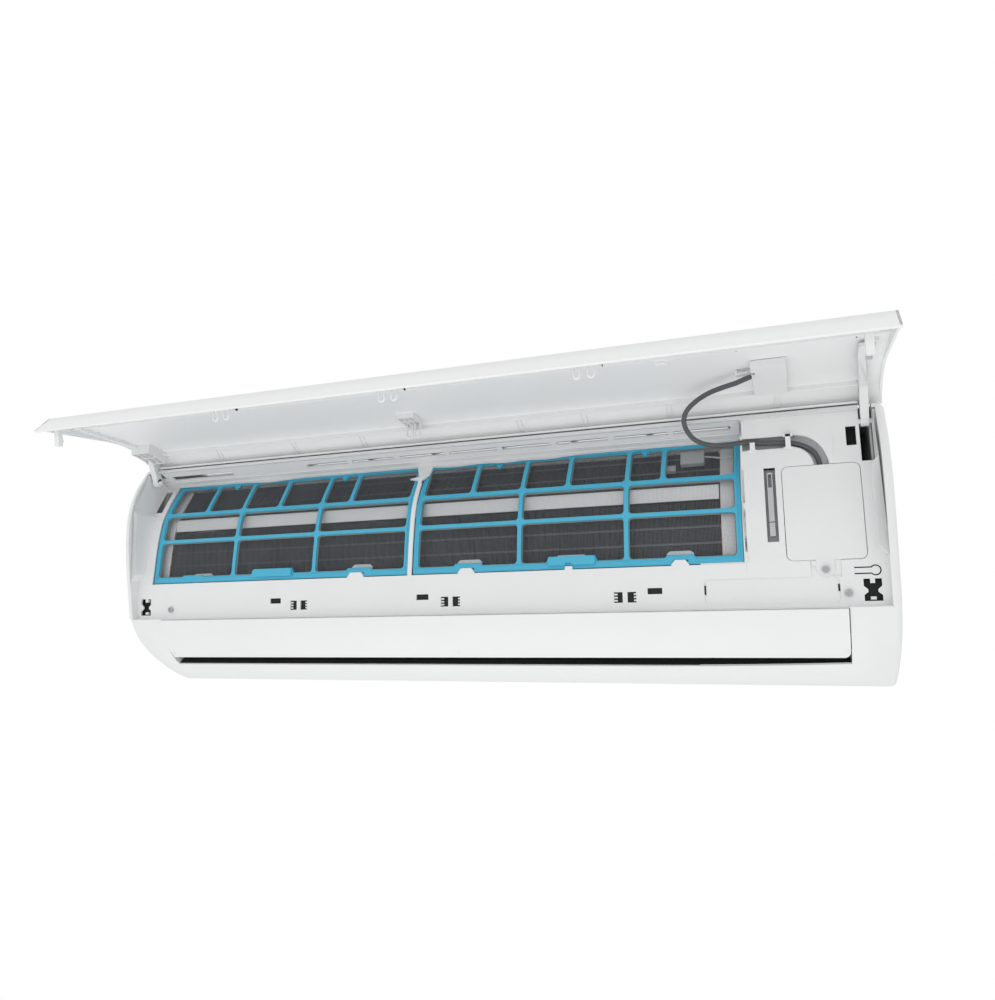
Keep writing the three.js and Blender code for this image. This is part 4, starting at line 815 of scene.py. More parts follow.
def refined(node: str, finish: Finish, bevel: float, sharp: float = 32.0) -> bpy.types.Object:
    """A copy of a CAD node with joined faces, rounded edges and its finish, in the node's place.

    Args:
        node: the CAD node's name.
        finish: its material.
        bevel: width of its rounded edges in millimetres.
        sharp: the angle from which an edge counts as sharp.

    Returns:
        The object that stands for the node.
    """
    mesh = frame["nodes"][node].data.copy()
    mesh.name = f"{node}_finished"
    bm = bmesh.new()
    bm.from_mesh(mesh)
    bmesh.ops.remove_doubles(bm, verts=bm.verts, dist=2e-6)
    bmesh.ops.dissolve_limit(bm, angle_limit=math.radians(0.4), verts=bm.verts, edges=bm.edges)
    mark_sharp(bm, sharp)
    bm.to_mesh(mesh)
    bm.free()
    made = bpy.data.objects.new(f"{node}_finished", mesh)
    bpy.context.scene.collection.objects.link(made)
    mesh.materials.clear()
    mesh.materials.append(finish.made())
    if bevel:
        round_edges(made, bevel)
    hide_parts(node)
    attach(made, NODE_BODY[node])
    return made


# ---------------------------------------------------------------- section lines
FRONT = spline(
    [(-203, SEAM), (-207, 140), (-212, 190), (-213, 230), (-209, 265), (-196, 300), (-170, TOP)], 60
)
BELLY = spline([(-75, 0), (-120, 11), (-153, 27), (-176, 45), (-194, 76), (-203, SEAM)], 60)
BELLY_END = spline([(-75, 0), (-106, 14), (-134, 31), (-160, 49), (-184, 73), (-201, SEAM)], 60)
PANEL_LINE = spline(
    [(-230.5, 131), (-225.5, 170), (-223, 212), (-221.5, 245), (-218, 279), (-208.5, 309), (-188.5, 331)], 60
)
FACE = Section(FRONT)
BED = Section(np.vstack([
    [[-193, SEAM]], spline([(-191, 157), (-180, 222), (-166, 264), (-131, TOP - 22)], 60)
]))
BOX = Section(np.array(
    [[-193, SEAM], [-190.5, 157], [-183, 222], [-174, 270], [-168, 300], [-165, TOP - 5]], float
))
CEILING = Section(np.array([[-131.0, TOP - 22], [-165.0, TOP - 5]]))
ROOF = Section(np.array([[-170.0, TOP], [-14.6, TOP]]))
FILTER = Section(spline([(-188, 157), (-177, 222), (-163, 264), (-127, TOP - 24)], 60))
PANEL = Section(PANEL_LINE)
LOUVER = Section(spline([(-174, 44), (-185.5, 57.5), (-197, 77), (-206, 101)], 40))

CLIP_X = (-240.0, -4.0, 231.0)
LATCH_X = (-514.0, 512.0)


def depth(section: Section, z: float, out: float = 0.0) -> float:
    """The y of a climbing section line at a height."""
    return float(section.at(section.rise(z), out)[0])


@dataclass
class Lead:
    """The display's lead, from the electrical cover over to the panel."""

    diameter: float = 6.0
    sides: int = 20
    knots: list[tuple[float, float, float]] = field(
        default_factory=lambda: [
            (467, -165.5, 258), (466.5, -165.5, 267), (465, -165.5, 277), (460, -165.5, 286.5),
            (450, -165.5, 294), (437, -165.5, 298.5), (420, -165.6, 300.5), (402, -166, 301.5),
            (390, -167, 303), (377, -169, 303.5), (364, -172, 302.3), (351, -175, 301.8),
            (340, -178, 303.2), (328, -181, 308), (320.3, -184, 315), (315, -188, 325),
            (314.2, -193, 335.2), (319.2, -200, 344.1), (328.8, -208, 350.8), (339.4, -216, 355.4),
            (351, -225, 358.3), (366.6, -235, 360.3), (380.7, -243, 361.7), (389.5, -250, 363),
            (397, -256, 364),
        ]
    )

    def build(self) -> None:
        """Makes the lead and bakes its placing into its points."""
        path = smooth_path(self.knots, 2.5)
        shell = tube(path, self.diameter / 2, self.sides)
        lead = piece("display_lead", [shell], LEAD_SLEEVE, None, nodes=("display_cable",), slot="lead")
        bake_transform(lead)


@dataclass
class WallSide:
    """The wall plate and the back shell."""

    def build(self) -> None:
        """Dresses the back."""
        refined("wall_plate", ZINC, 0.4)
        refined("rear_casing", SHELL_PS, 0.0)


@dataclass
class Housing:
    """The white front housing and what is fixed to it."""

    wall: float = 2.5
    recess: float = 530.0  # half the width between the end blocks
    taper: float = 45.0  # over which the belly thins towards each end
    rounding: float = 8.0  # of the outer ends
    box_start: float = 377.0
    outlet: tuple[float, float] = (-475.6, 485.8)
    lip: float = 32.5
    arm: tuple[float, float] = (512.0, 526.0)  # slot that a hinge arm swings in
    openings: tuple[tuple[float, float], ...] = ((-504.2, -67.5), (-61.5, 375.2))
    cover: tuple[float, float, float, float] = (422.4, 509.6, 156.4, 269.6)
    sensor: tuple[float, float, float, float] = (402.6, 415.6, 180.0, 269.6)
    notches: tuple[tuple[float, float], ...] = ((-159.0, -137.0), (9.0, 29.0), (291.0, 309.0))
    pads: tuple[tuple[float, float, float], ...] = (
        (-434.0, -399.0, 171.0), (-159.0, -127.0, 175.0), (3.0, 38.0, 175.0), (140.0, 182.0, 176.0),
        (283.0, 316.0, 175.0),
    )
    slots: tuple[float, ...] = (-279.0, -45.0, 268.0)

    def belly_line(self, x: float) -> np.ndarray:
        """The underside's line at a place along X: the middle's, thinning towards each end.

        Formula: a smooth step over the taper mixes the middle's line with the end's.
        """
        w = min(max((abs(x) - (HALF_WIDTH - self.taper)) / self.taper, 0.0), 1.0)
        w = w * w * (3 - 2 * w)
        return BELLY * (1 - w) + BELLY_END * w

    def ends(self) -> list[Shell]:
        """Both end blocks, with softly rounded outer edges.

        Formula: rings of the whole outline, each drawn in by the part of a quarter circle
        that belongs to its place along X.
        """
        shells = []
        r = self.rounding
        for side in (-1, 1):
            rings = []
            turns = np.linspace(0.0, math.pi / 2, 8)
            places = [(self.recess, 0.0)] + [
                (HALF_WIDTH - r + r * math.sin(a), r * (1 - math.cos(a))) for a in turns
            ]
            for x, drawn in places:
                line = offset(np.concatenate([self.belly_line(x), FRONT[1:]]), -drawn)
                line[:, 1] = np.clip(line[:, 1], drawn, TOP - drawn)
                ring = np.concatenate([line, [[-14.6, TOP - drawn], [-14.6, drawn]]])
                rings.append(np.column_stack([np.full(len(ring), side * x), ring]))
            shells.append(skin(np.array(rings)))
        return shells

    def belly(self) -> list[Shell]:
        """The underside with the outlet's opening, and the rim over the opening.

        Formula: a grid over places along X and shares of the line's length, cut in two parts
        at the lip, whose height climbs a little towards the right.
        """
        a, b = self.outlet
        xs = fine([-self.recess - 1, -HALF_WIDTH + self.taper, a, 250.0, b, HALF_WIDTH - self.taper,
                   self.recess + 1], 12)
        front, back = [], []
        for x in xs:
            line = self.belly_line(x)
            run = np.concatenate([[0.0], np.cumsum(np.linalg.norm(np.diff(line, axis=0), axis=1))])
            climb = min(max((x - 250.0) / 235.0, 0.0), 1.0)
            cut = float(np.interp(self.lip + 4.0 * climb * climb, line[:, 1], run))
            at = np.concatenate([np.linspace(0, cut, 17), np.linspace(cut, run[-1], 11)[1:]])
            outer = np.stack([np.interp(at, run, line[:, k]) for k in (0, 1)], axis=1)
            inner = offset(outer, -self.wall)
            front.append(np.column_stack([np.full(len(at), x), outer]))
            back.append(np.column_stack([np.full(len(at), x), inner[:, 0], np.maximum(inner[:, 1], 1.2)]))
        filled = np.ones((26, len(xs) - 1), bool)
        middle = (xs[:-1] + xs[1:]) / 2
        filled[16:, (middle > a) & (middle < b)] = False
        shape = plate(np.array(front).swapaxes(0, 1), np.array(back).swapaxes(0, 1), filled)
        rim = np.array([
            [-202.8, SEAM - 0.9], [-203, SEAM], [-190, SEAM], [-190, SEAM - 2.5], [-196, SEAM - 1.2]
        ])
        return [shape, along_x(rim, -self.recess - 1, self.recess + 1)]

    def bed(self) -> list[Shell]:
        """The sloping bed under the filters with its face, windows and white tabs."""
        r = self.recess
        windows = [(a, b, 156.2, 316.0) for a, b in self.openings]
        face = [(x - 9.5, x + 9.5, 109, 134) for x in LATCH_X]
        face += [(x - 9, x + 9, 122.5, 130) for x in self.slots]
        face += [(x + d - 5.5, x + d + 5.5, 113, 126) for x in CLIP_X for d in (-8.5, 8.5)]
        face += [(327, 400, 108, 138), (-self.arm[1], -self.arm[0], 270, 306)]
        shells = [pierced(BED, (-r - 1, self.box_start), (0, BED.run[-1]), -self.wall, 0,
                          by_height(BED, windows + face))]
        for a, b in self.notches:
            tab = [
                (a - 3, 152), (b + 3, 152), (b + 1.5, 157.5), (b - 2.5, 163), (a + 2.5, 163),
                (a - 1.5, 157.5),
            ]
            shells.append(relief(tab, BED, -6.5, 0.3))
        shells.append(relief([(154, 152), (166, 152), (164.5, 160.5), (155.5, 160.5)], BED, -6.5, 0.3))
        for a, b, top in self.pads:
            pad = [(a, 157), (b, 157), (b, top - 3), (b - 4, top), (a + 4, top), (a, top - 3)]
            shells.append(relief(pad, FILTER, -8.2, -5.8))
        gusset = [
            (-67.5, 288), (-61.5, 288), (-61.5, 292), (-52.5, 300), (-50, 315), (-76, 315),
            (-68.5, 297), (-82, 294.5), (-68.5, 292),
        ]
        shells.append(relief(gusset, BED, -self.wall, 0.6))
        xs = np.arange(-r, self.box_start + 1, 8.0)
        edge, sag = 313.6, 3.2
        places = ((-330, 34), (-18, 40), (60, 26), (120, 30))  # middle and half width of each dip
        low = edge - sum(sag * np.exp(-(((xs - c) / w) ** 2)) for c, w in places)
        low[0] = low[-1] = edge
        shells.append(curtain(BED, xs, low, np.full(len(xs), TOP - 22.0), -self.wall, 0.9, 3))
        return shells

    def ceiling(self) -> list[Shell]:
        """The slope over the filters with its row of air slots, and the brow in front of it."""
        slots = [(-250 + 78 * i, -180 + 78 * i, 21.2, 28.0) for i in range(8)]
        slots += [(-500, -385, 17.0, 27.0), (-self.arm[1], -self.arm[0], 24.6, 39.0)]
        end = float(CEILING.run[-1])
        shells = [pierced(CEILING, (-self.recess - 1, self.box_start + 1), (0, end), -self.wall, 0, slots)]
        shells.append(along_x(np.array([[-143.5, 319.2], [-141.5, 318.3], [-141.2, 319.8], [-143.2, 320.7]]),
                              -self.recess, self.box_start))
        brow = np.array([[-165, 332], [-173.2, 332], [-170, TOP], [-160, TOP], [-160, 334.4]])
        near, far = self.arm
        end_x = self.recess + 1
        for x0, x1 in ((-end_x, -far), (-near, near), (far, end_x)):
            shells.append(along_x(brow, x0, x1))
        return shells

    def roof(self) -> list[Shell]:
        """The top with its four rows of eight slots."""
        slots = [
            (-480 + 106 * c, -382 + 106 * c, 30 + 29 * row, 48 + 29 * row)
            for c in range(8) for row in range(4)
        ]
        slots += [(-self.arm[1], -self.arm[0], -1, 17), (self.arm[0], self.arm[1], -1, 17)]
        span = (-self.recess - 1, self.recess + 1)
        return [pierced(ROOF, span, (0, ROOF.run[-1]), -self.wall, 0, slots, 40)]

    def box_face(self) -> list[Shell]:
        """The face over the electrical box with the windows for cover, sensor, tongue and arm."""
        channel = (self.box_start, 482, 269.6, 312)
        holes = [self.cover, self.sensor, channel, (self.box_start, 478, 108, 138), (448, 481, 137.5, 157),
                 (494, 524, 136.5, 150.5), (LATCH_X[1] - 9.5, LATCH_X[1] + 9.5, 109, 134),
                 (self.arm[0], self.arm[1], 270, 332), (497, 508, 290, 313)]
        span = (self.box_start, self.recess + 1)
        shells = [pierced(BOX, span, (0, BOX.run[-1]), -self.wall, 0, by_height(BOX, holes))]
        step = np.concatenate([BOX.points[1:], CEILING.points[::-1], BED.points[1:-1][::-1]])
        shells.append(along_x(step, self.box_start, self.box_start + self.wall))
        shells += corners(BOX, *self.cover, 7.6, -self.wall, 0)
        shells += self.channel()
        edge = [(531, 161), (528.5, 161), (519.5, 172), (519.5, 264), (526.8, 272), (526.8, 330), (531, 330)]
        shells.append(skin(np.stack([laid(edge, BOX, -1), laid(edge, FACE, -0.6)])))
        left = [(-x, z) for x, z in edge]
        shells.append(skin(np.stack([laid(left, BED, -1), laid(left, FACE, -0.6)])))
        return shells

    def channel(self) -> list[Shell]:
        """The face on both sides of the lead's groove, the groove's floor and its two pegs."""
        outer = bend((440, 308), (470, 306), (477, 269.6))
        above = [(self.box_start, 312), (self.box_start, 308), *outer, (482, 269.6), (482, 312)]
        inner = bend((458, 269.6), (455, 292), (430, 293))
        below = [(self.box_start, 269.6), *inner, (self.box_start, 293)]
        shells = [relief(above, BOX, -self.wall, 0), relief(below, BOX, -self.wall, 0)]
        for knots, thick in ((outer, 1.6), (inner, -1.6)):
            line = np.asarray(knots)
            ring = np.concatenate([line, offset(line, thick)[::-1]])
            shells.append(skin(np.stack([laid(ring, BOX, 0), laid(ring, BOX, -8)])))
        for x0, x1, z0, z1 in ((386, 397, 291, 302), (427, 438, 291.5, 309)):
            shells.append(beam(x0 + 2.5, x1 - 2.5, -174, -171, z0, z1))
            shells.append(beam(x0, x1, -173, -165, z0 - 1, z0 + 2))
        shells.append(beam(427, 438, -174, -171, 306, 309))
        return shells

    def face_details(self) -> list[Shell]:
        """Shallow recess, fins of the clip windows, tongues of the latches and the hinge lugs."""
        low, high = (-4.3, -1.6)
        shells = [pierced(BOX, (324, 481), stretch(BOX, 105, 158), low, high)]
        shells += corners(BOX, 327, 478, 108, 138, 6, low, 0)
        for a, b in ((-14, -9.5), (11, 14)):
            shells += [relief(oblong(x + a, x + b, z, z + 2), BED, -5, -0.6)
                       for x in CLIP_X for z in (114.6, 118.4, 122.2)]
        for x in LATCH_X:
            for side in (-1, 1):
                far, near = x + side * 9.6, x + side * 5.2
                wedge = [(far, 115.5), (near, 119), (near, 122), (far, 126)]
                shells.append(relief(wedge, BOX, -self.wall, -0.2))
            shells.append(relief(oblong(x - 2.5, x + 2.5, 129, 134.5), BOX, -6, -0.8))
            shells.append(relief(oblong(x - 3, x + 3, 110.5, 114), BOX, -6, -2.2))
        pin = [(0, 3.2), (20.2, 3.2)]
        for side in (-1, 1):
            shells.append(turned(pin, (side * 511, *HINGE), (side * 531.2, *HINGE), 24))
        slit = 1.4
        upper = [*hairpin(slit), (524, 143.5), (524, 150.5), (494, 150.5)]
        lower = [(x, 287 - z) for x, z in upper]
        shells += [relief(upper, BOX, -self.wall, 0), relief(lower, BOX, -self.wall, 0)]
        cheek = np.array([
            [-150, 38], [-163, 33], [-173, 44], [-192, 78], [-200, 101], [-191, 105], [-150, 105]
        ])
        for x0, x1 in ((-476.5, -475.5), (485.8, 487.8)):
            shells.append(along_x(cheek, x0, x1))
        return shells

    def shade(self) -> None:
        """Painted shade behind the openings of the face and the outlet: near-black sheets and a dark strip on
        the lip, and a grey floor in the lead's groove and behind the sensor, partly painted shade.
        """
        # painted shade: near-black sheets just behind the face's openings
        strips = [
            pierced(section, (x0, x1), stretch(section, low, high), back, front)
            for section, x0, x1, low, high, back, front in (
                (BED, -527, -498, 105, 152, -9, -7.8), (BED, -498, 325, 105, 152, -4, -2.55),
                (BOX, 482, 529, 105, 154, -7.5, -6.2), (BOX, 322, 329, 120, 131, -2.2, -0.9),
                (BOX, 475.8, 477.8, 121, 129, -2.2, -0.9), (BOX, 496, 509, 289, 314, -16, -14),
            )
        ]
        # painted shade: a dark strip on the outlet lip's inner slope, where the inside lies in shade
        ledge = np.array([
            [-161.2, 34.2], [-160.6, 35.2], [-150.5, 43.6], [-128, 49.6], [-128, 48.6], [-150, 42.4]
        ])
        strips.append(along_x(ledge, self.outlet[0] + 0.5, self.outlet[1] - 0.5))
        piece("painted_shade_sheets", strips, PAINTED_SHADE, Body.CHASSIS, slot="black_abs")
        # painted shade: the grey floor of the lead's groove and of the well behind the sensor is partly its
        # own grey and partly the shade of these recesses
        well = pierced(BOX, (402, 416.5), stretch(BOX, 179, 269.6), -10, -9)
        floor = [(377.5, 310), (441, 310), (464, 305), (477.5, 289), (480, 266), (455, 266), (453, 282),
                 (444, 290), (429, 291), (377.5, 291)]
        piece(
            "channel_floor_shade", [relief(floor, BOX, -9.0, -8.0), well], GREY_ABS_AND_SHADE, Body.CHASSIS,
            slot="white_abs",
        )

    def build(self) -> None:
        """Makes the housing and its small features."""
        shells = [
            *self.ends(), *self.belly(), *self.bed(), *self.ceiling(), *self.roof(), *self.box_face(),
            *self.face_details(),
        ]
        piece(
            "front_housing_body", shells, WHITE_ABS, Body.CHASSIS, bevel=0.5, nodes=("front_housing",),
            slot=NODE_SLOT["front_housing"],
        )
        self.shade()
        refined("screw_cap_left", WHITE_ABS, 0.3)
        refined("screw_cap_right", WHITE_ABS, 0.3)
        for node in ("frame_screw_left", "frame_screw_right", "cover_screw"):
            refined(node, SCREW_STEEL, 0.2)


def hairpin(grow: float) -> list[tuple[float, float]]:
    """Upper half of the sprung tongue's outline: a neck and a round head.

    Args:
        grow: millimetres that the outline stands off the tongue.

    Returns:
        (x, z) points from the root to the tip.
    """
    neck, head = 2.8 + grow, 4.8 + grow
    start = math.pi - math.asin(neck / head)
    arc = [(516 + head * math.cos(a), 143.5 + head * math.sin(a)) for a in np.linspace(start, 0, 12)]
    return [(494, 143.5 + neck), *arc]


@dataclass
class Coil:
    """The three finned slabs, their tubes and end plates."""

    left: float = -486.0
    right: float = 348.0
    thick: float = 26.0
    pitch: float = 1.9  # fin to fin, drawn a little coarser than the real 1.4
    fin: float = 0.3
    slabs: dict[str, tuple] = field(
        default_factory=lambda: {
            "coil_front_lower": ((-172.0, 152.0), (-156.0, 236.0)),
            "coil_front_upper": ((-150.0, 253.0), (-116.0, 305.0)),
            "coil_rear": ((-74.0, 300.0), (-30.0, 240.0)),
        }
    )
    tube_step: float = 21.0  # middle to middle along a slab
    tube_radius: float = 3.4
    tube_depth: float = 4.6  # of the tubes' middle lines inside a slab

    def slab(self, name: str) -> None:
        """One slab: a dark core and a row of thin fins round it, both dark as painted shade, and tube collars
        that just show.

        Args:
            name: the CAD node.
        """
        low, high = (np.array(p) for p in self.slabs[name])
        run = (high - low) / np.linalg.norm(high - low)
        inward = np.array([run[1], -run[0]])
        length = float(np.linalg.norm(high - low))

        def spot(along: float, deep: float) -> np.ndarray:
            """A point of the slab, by its distance along and into it."""
            return low + run * along + inward * deep

        outline = np.array([spot(0, self.thick), spot(length, self.thick), spot(length, 0), spot(0, 0)])
        near, far, front, back = 1.2, length - 1.2, 1.6, self.thick - 1.6
        core = np.array([spot(near, back), spot(far, back), spot(far, front), spot(near, front)])
        piece(
            f"{name}_core", [along_x(core, self.left + 0.6, self.right - 0.6)], FIN_DEPTH, Body.CHASSIS,
            slot="fins",
        )
        x = np.arange(self.left, self.right - self.fin, self.pitch)
        fins = [along_x(outline, float(a), float(a) + self.fin) for a in x]
        piece(f"{name}_fins", fins, FIN_STRIP_SHADED, Body.CHASSIS, nodes=(name,), slot="fins")
        count = int((length - 6) // self.tube_step) + 1
        first = (length - (count - 1) * self.tube_step) / 2
        profile = [(0, self.tube_radius), (self.right - self.left, self.tube_radius)]
        tubes = []
        for i in range(count):
            middle = spot(first + i * self.tube_step, self.tube_depth)
            tubes.append(turned(profile, (self.left, *middle), (self.right, *middle), 12))
        piece(f"{name}_collars", tubes, FIN_COLLAR, Body.CHASSIS, slot="fins")

    def build(self) -> None:
        """Makes the coil."""
        for name in self.slabs:
            self.slab(name)
        rows = stretch(FILTER, 157, 312)
        plates = [pierced(FILTER, span, rows, -14, -12) for span in ((-505, -487), (349.5, 375.5))]
        piece("coil_end_plates", plates, WHITE_ABS, Body.CHASSIS, bevel=0.5, slot="white_abs")
        refined("coil_bends_left", COPPER, 0.0, 60)
        refined("coil_bends_right", COPPER, 0.0, 60)
        refined("coil_bar", PANEL_ABS, 0.8)
        self.clip()
        for node in ("gas_pipe", "liquid_pipe"):
            refined(node, COPPER, 0.0, 60)
        for node in ("gas_nut", "liquid_nut"):
            refined(node, BRASS, 0.5)
        refined("drain_pan", SHELL_PS, 0.0)
        refined("drain_plug", RUBBER, 0.5)

    def clip(self) -> None:
        """The milky holder of the coil's temperature sensor, with its white wire."""
        refined("coil_sensor_clip", MILKY_NYLON, 0.8)
        low, high = (np.array(p) for p in self.slabs["coil_front_upper"])
        face = Section(np.stack([low, high]))
        foot = oblong(278, 294, 275, 283)
        piece("sensor_clip_foot", [relief(foot, face, 0.4, 7)], MILKY_NYLON, Body.CHASSIS, 0.8, slot="milky")
        knots = [(326, -125, 297), (338, -127, 295), (352, -133, 292), (368, -134, 293)]
        wire = tube(smooth_path(knots, 2), 1.0, 10)
        piece("sensor_wire", [wire], WHITE_ABS, Body.CHASSIS, slot="white_abs")


@dataclass
class Fan:
    """The cross-flow wheel, its motor and its bearing."""

    def build(self) -> None:
        """Dresses the fan."""
        refined("blower_wheel", BLACK_ABS, 0.0)
        refined("fan_motor", ZINC, 0.8)
        refined("motor_clamp", SHELL_PS, 0.8)
        refined("fan_bearing", RUBBER, 0.4)
        refined("bearing_holder", SHELL_PS, 0.6)


@dataclass
class Outlet:
    """The louver, the upright vanes and the links that turn them."""

    left: float = -474.6
    right: float = 484.8
    thick: float = 2.6
    corner: float = 7.0
    pivot: tuple[float, float] = (-171.5, 54.0)

    def louver(self) -> None:
        """The louver's curved blade with a rounded lower right corner, its arms and pins."""
        xs = fine([self.left, self.right - self.corner], 60)
        turn = np.linspace(0.1, math.pi / 2, 8)
        xs = np.concatenate([xs, self.right - self.corner + self.corner * np.sin(turn)])
        drop = np.maximum(xs - (self.right - self.corner), 0.0)
        low = 44.0 + self.corner - np.sqrt(np.maximum(self.corner**2 - drop**2, 0.0))
        shells = [curtain(LOUVER, xs, low, np.full(len(xs), 101.0), -self.thick, 0, 24)]
        py, pz = self.pivot
        arm = np.array([[-199, 90], [-181.5, 49.5], [py + 3, pz - 4.5], [py + 4, pz + 3], [-181, 66]])
        for x0, x1 in ((self.left + 3, self.left + 6), (-2, 2), (self.right - 6, self.right - 3)):
            shells.append(along_x(arm, x0, x1))
            shells.append(turned([(0, 4.4), (x1 - x0, 4.4)], (x0, py, pz), (x1, py, pz), 24))
        pins = ((self.left - 4.5, self.left + 4, 8.5), (self.right - 4, self.right + 10.5, 14.5))
        for x0, x1, length in pins:
            shells.append(turned([(0, 2.5), (length, 2.5)], (x0, py, pz), (x1, py, pz), 20))
        piece(
            "louver_blade", shells, WHITE_ABS, Body.LOUVER, 0.5, nodes=("louver",),
            slot=NODE_SLOT["louver"],
        )

    def build(self) -> None:
        """Makes the outlet."""
        self.louver()
        refined("louver_motor", WHITE_ABS, 0.4)
        for group in ("left", "right"):
            for i in range(1, 6):
                refined(f"vane_{group}_{i}", GREY_ABS, 0.3)
            refined(f"vane_link_{group}", GREY_ABS, 0.3)


@dataclass
class Electrics:
    """The electrical box with its cover, board, terminals, sensor and button."""

    cover: tuple[float, float, float, float] = (423.0, 509.0, 157.0, 269.0)
    radius: float = 7.0

    def lid(self) -> None:
        """The cover with rounded corners and the ear that its screw holds.

        Formula: columns stand closer in the corners, and each ends where the quarter circle
        of the corner has it.
        """
        x0, x1, z0, z1 = self.cover
        r = self.radius
        turn = r * (1 - np.cos(np.linspace(0, math.pi / 2, 8)))
        xs = np.concatenate([x0 + turn, fine([x0 + r, x1 - r], 20)[1:-1], x1 - turn[::-1]])
        inside = np.minimum(np.minimum(xs - x0, x1 - xs), r)
        cut = r - np.sqrt(np.maximum(r * r - (r - inside) ** 2, 0.0))
        shells = [curtain(BOX, xs, z0 + cut, z1 - cut, -2.5, 0, 16)]
        arc = [(464 + 10 * math.cos(a), 147 + 9.5 * math.sin(a)) for a in np.linspace(0, -math.pi, 13)]
        shells.append(relief([(474, 158.5), *arc, (454, 158.5)], BOX, -1.4, 0.2))
        shells.append(relief(oblong(449, 454, 150, 156), BOX, -1.4, -0.2))
        piece("cover_lid", shells, WHITE_ABS, Body.CHASSIS, 0.4, nodes=("electrical_cover",),
              slot=NODE_SLOT["electrical_cover"])

    def sensor(self) -> None:
        """The grey tongue in the upright slot: two parts, with a dark window at its top."""
        x0, x1, rail = 405.8, 412.2, 1.2
        parts = (
            (x0, x1, 187, 203.4), (x0, x1, 204.4, 246), (x0, x0 + rail, 246, 264),
            (x1 - rail, x1, 246, 264), (x0, x1, 262, 264),
        )
        bars = [relief(oblong(*part), BOX, -8.5, -1.0) for part in parts]
        piece("sensor_tongue", bars, GREY_ABS_AND_SHADE, Body.CHASSIS, 0.3, nodes=("room_sensor",),
              slot=NODE_SLOT["room_sensor"])

    def button(self) -> None:
        """The sprung tongue over the switch."""
        top = hairpin(0.0)
        outline = [*top, *[(x, 287 - z) for x, z in top[::-1]][1:]]
        piece("button_tongue", [relief(outline, BOX, -2.2, -0.1)], WHITE_ABS, NODE_BODY["manual_button"], 0.3,
              nodes=("manual_button",), slot=NODE_SLOT["manual_button"])

    def build(self) -> None:
        """Makes the electrical end."""
        refined("electrical_box", SHELL_PS, 0.0)
        self.lid()
        refined("circuit_board", LAMINATE, 0.2)
        refined("terminal_block", BLACK_ABS, 0.3)
        self.sensor()
        self.button()


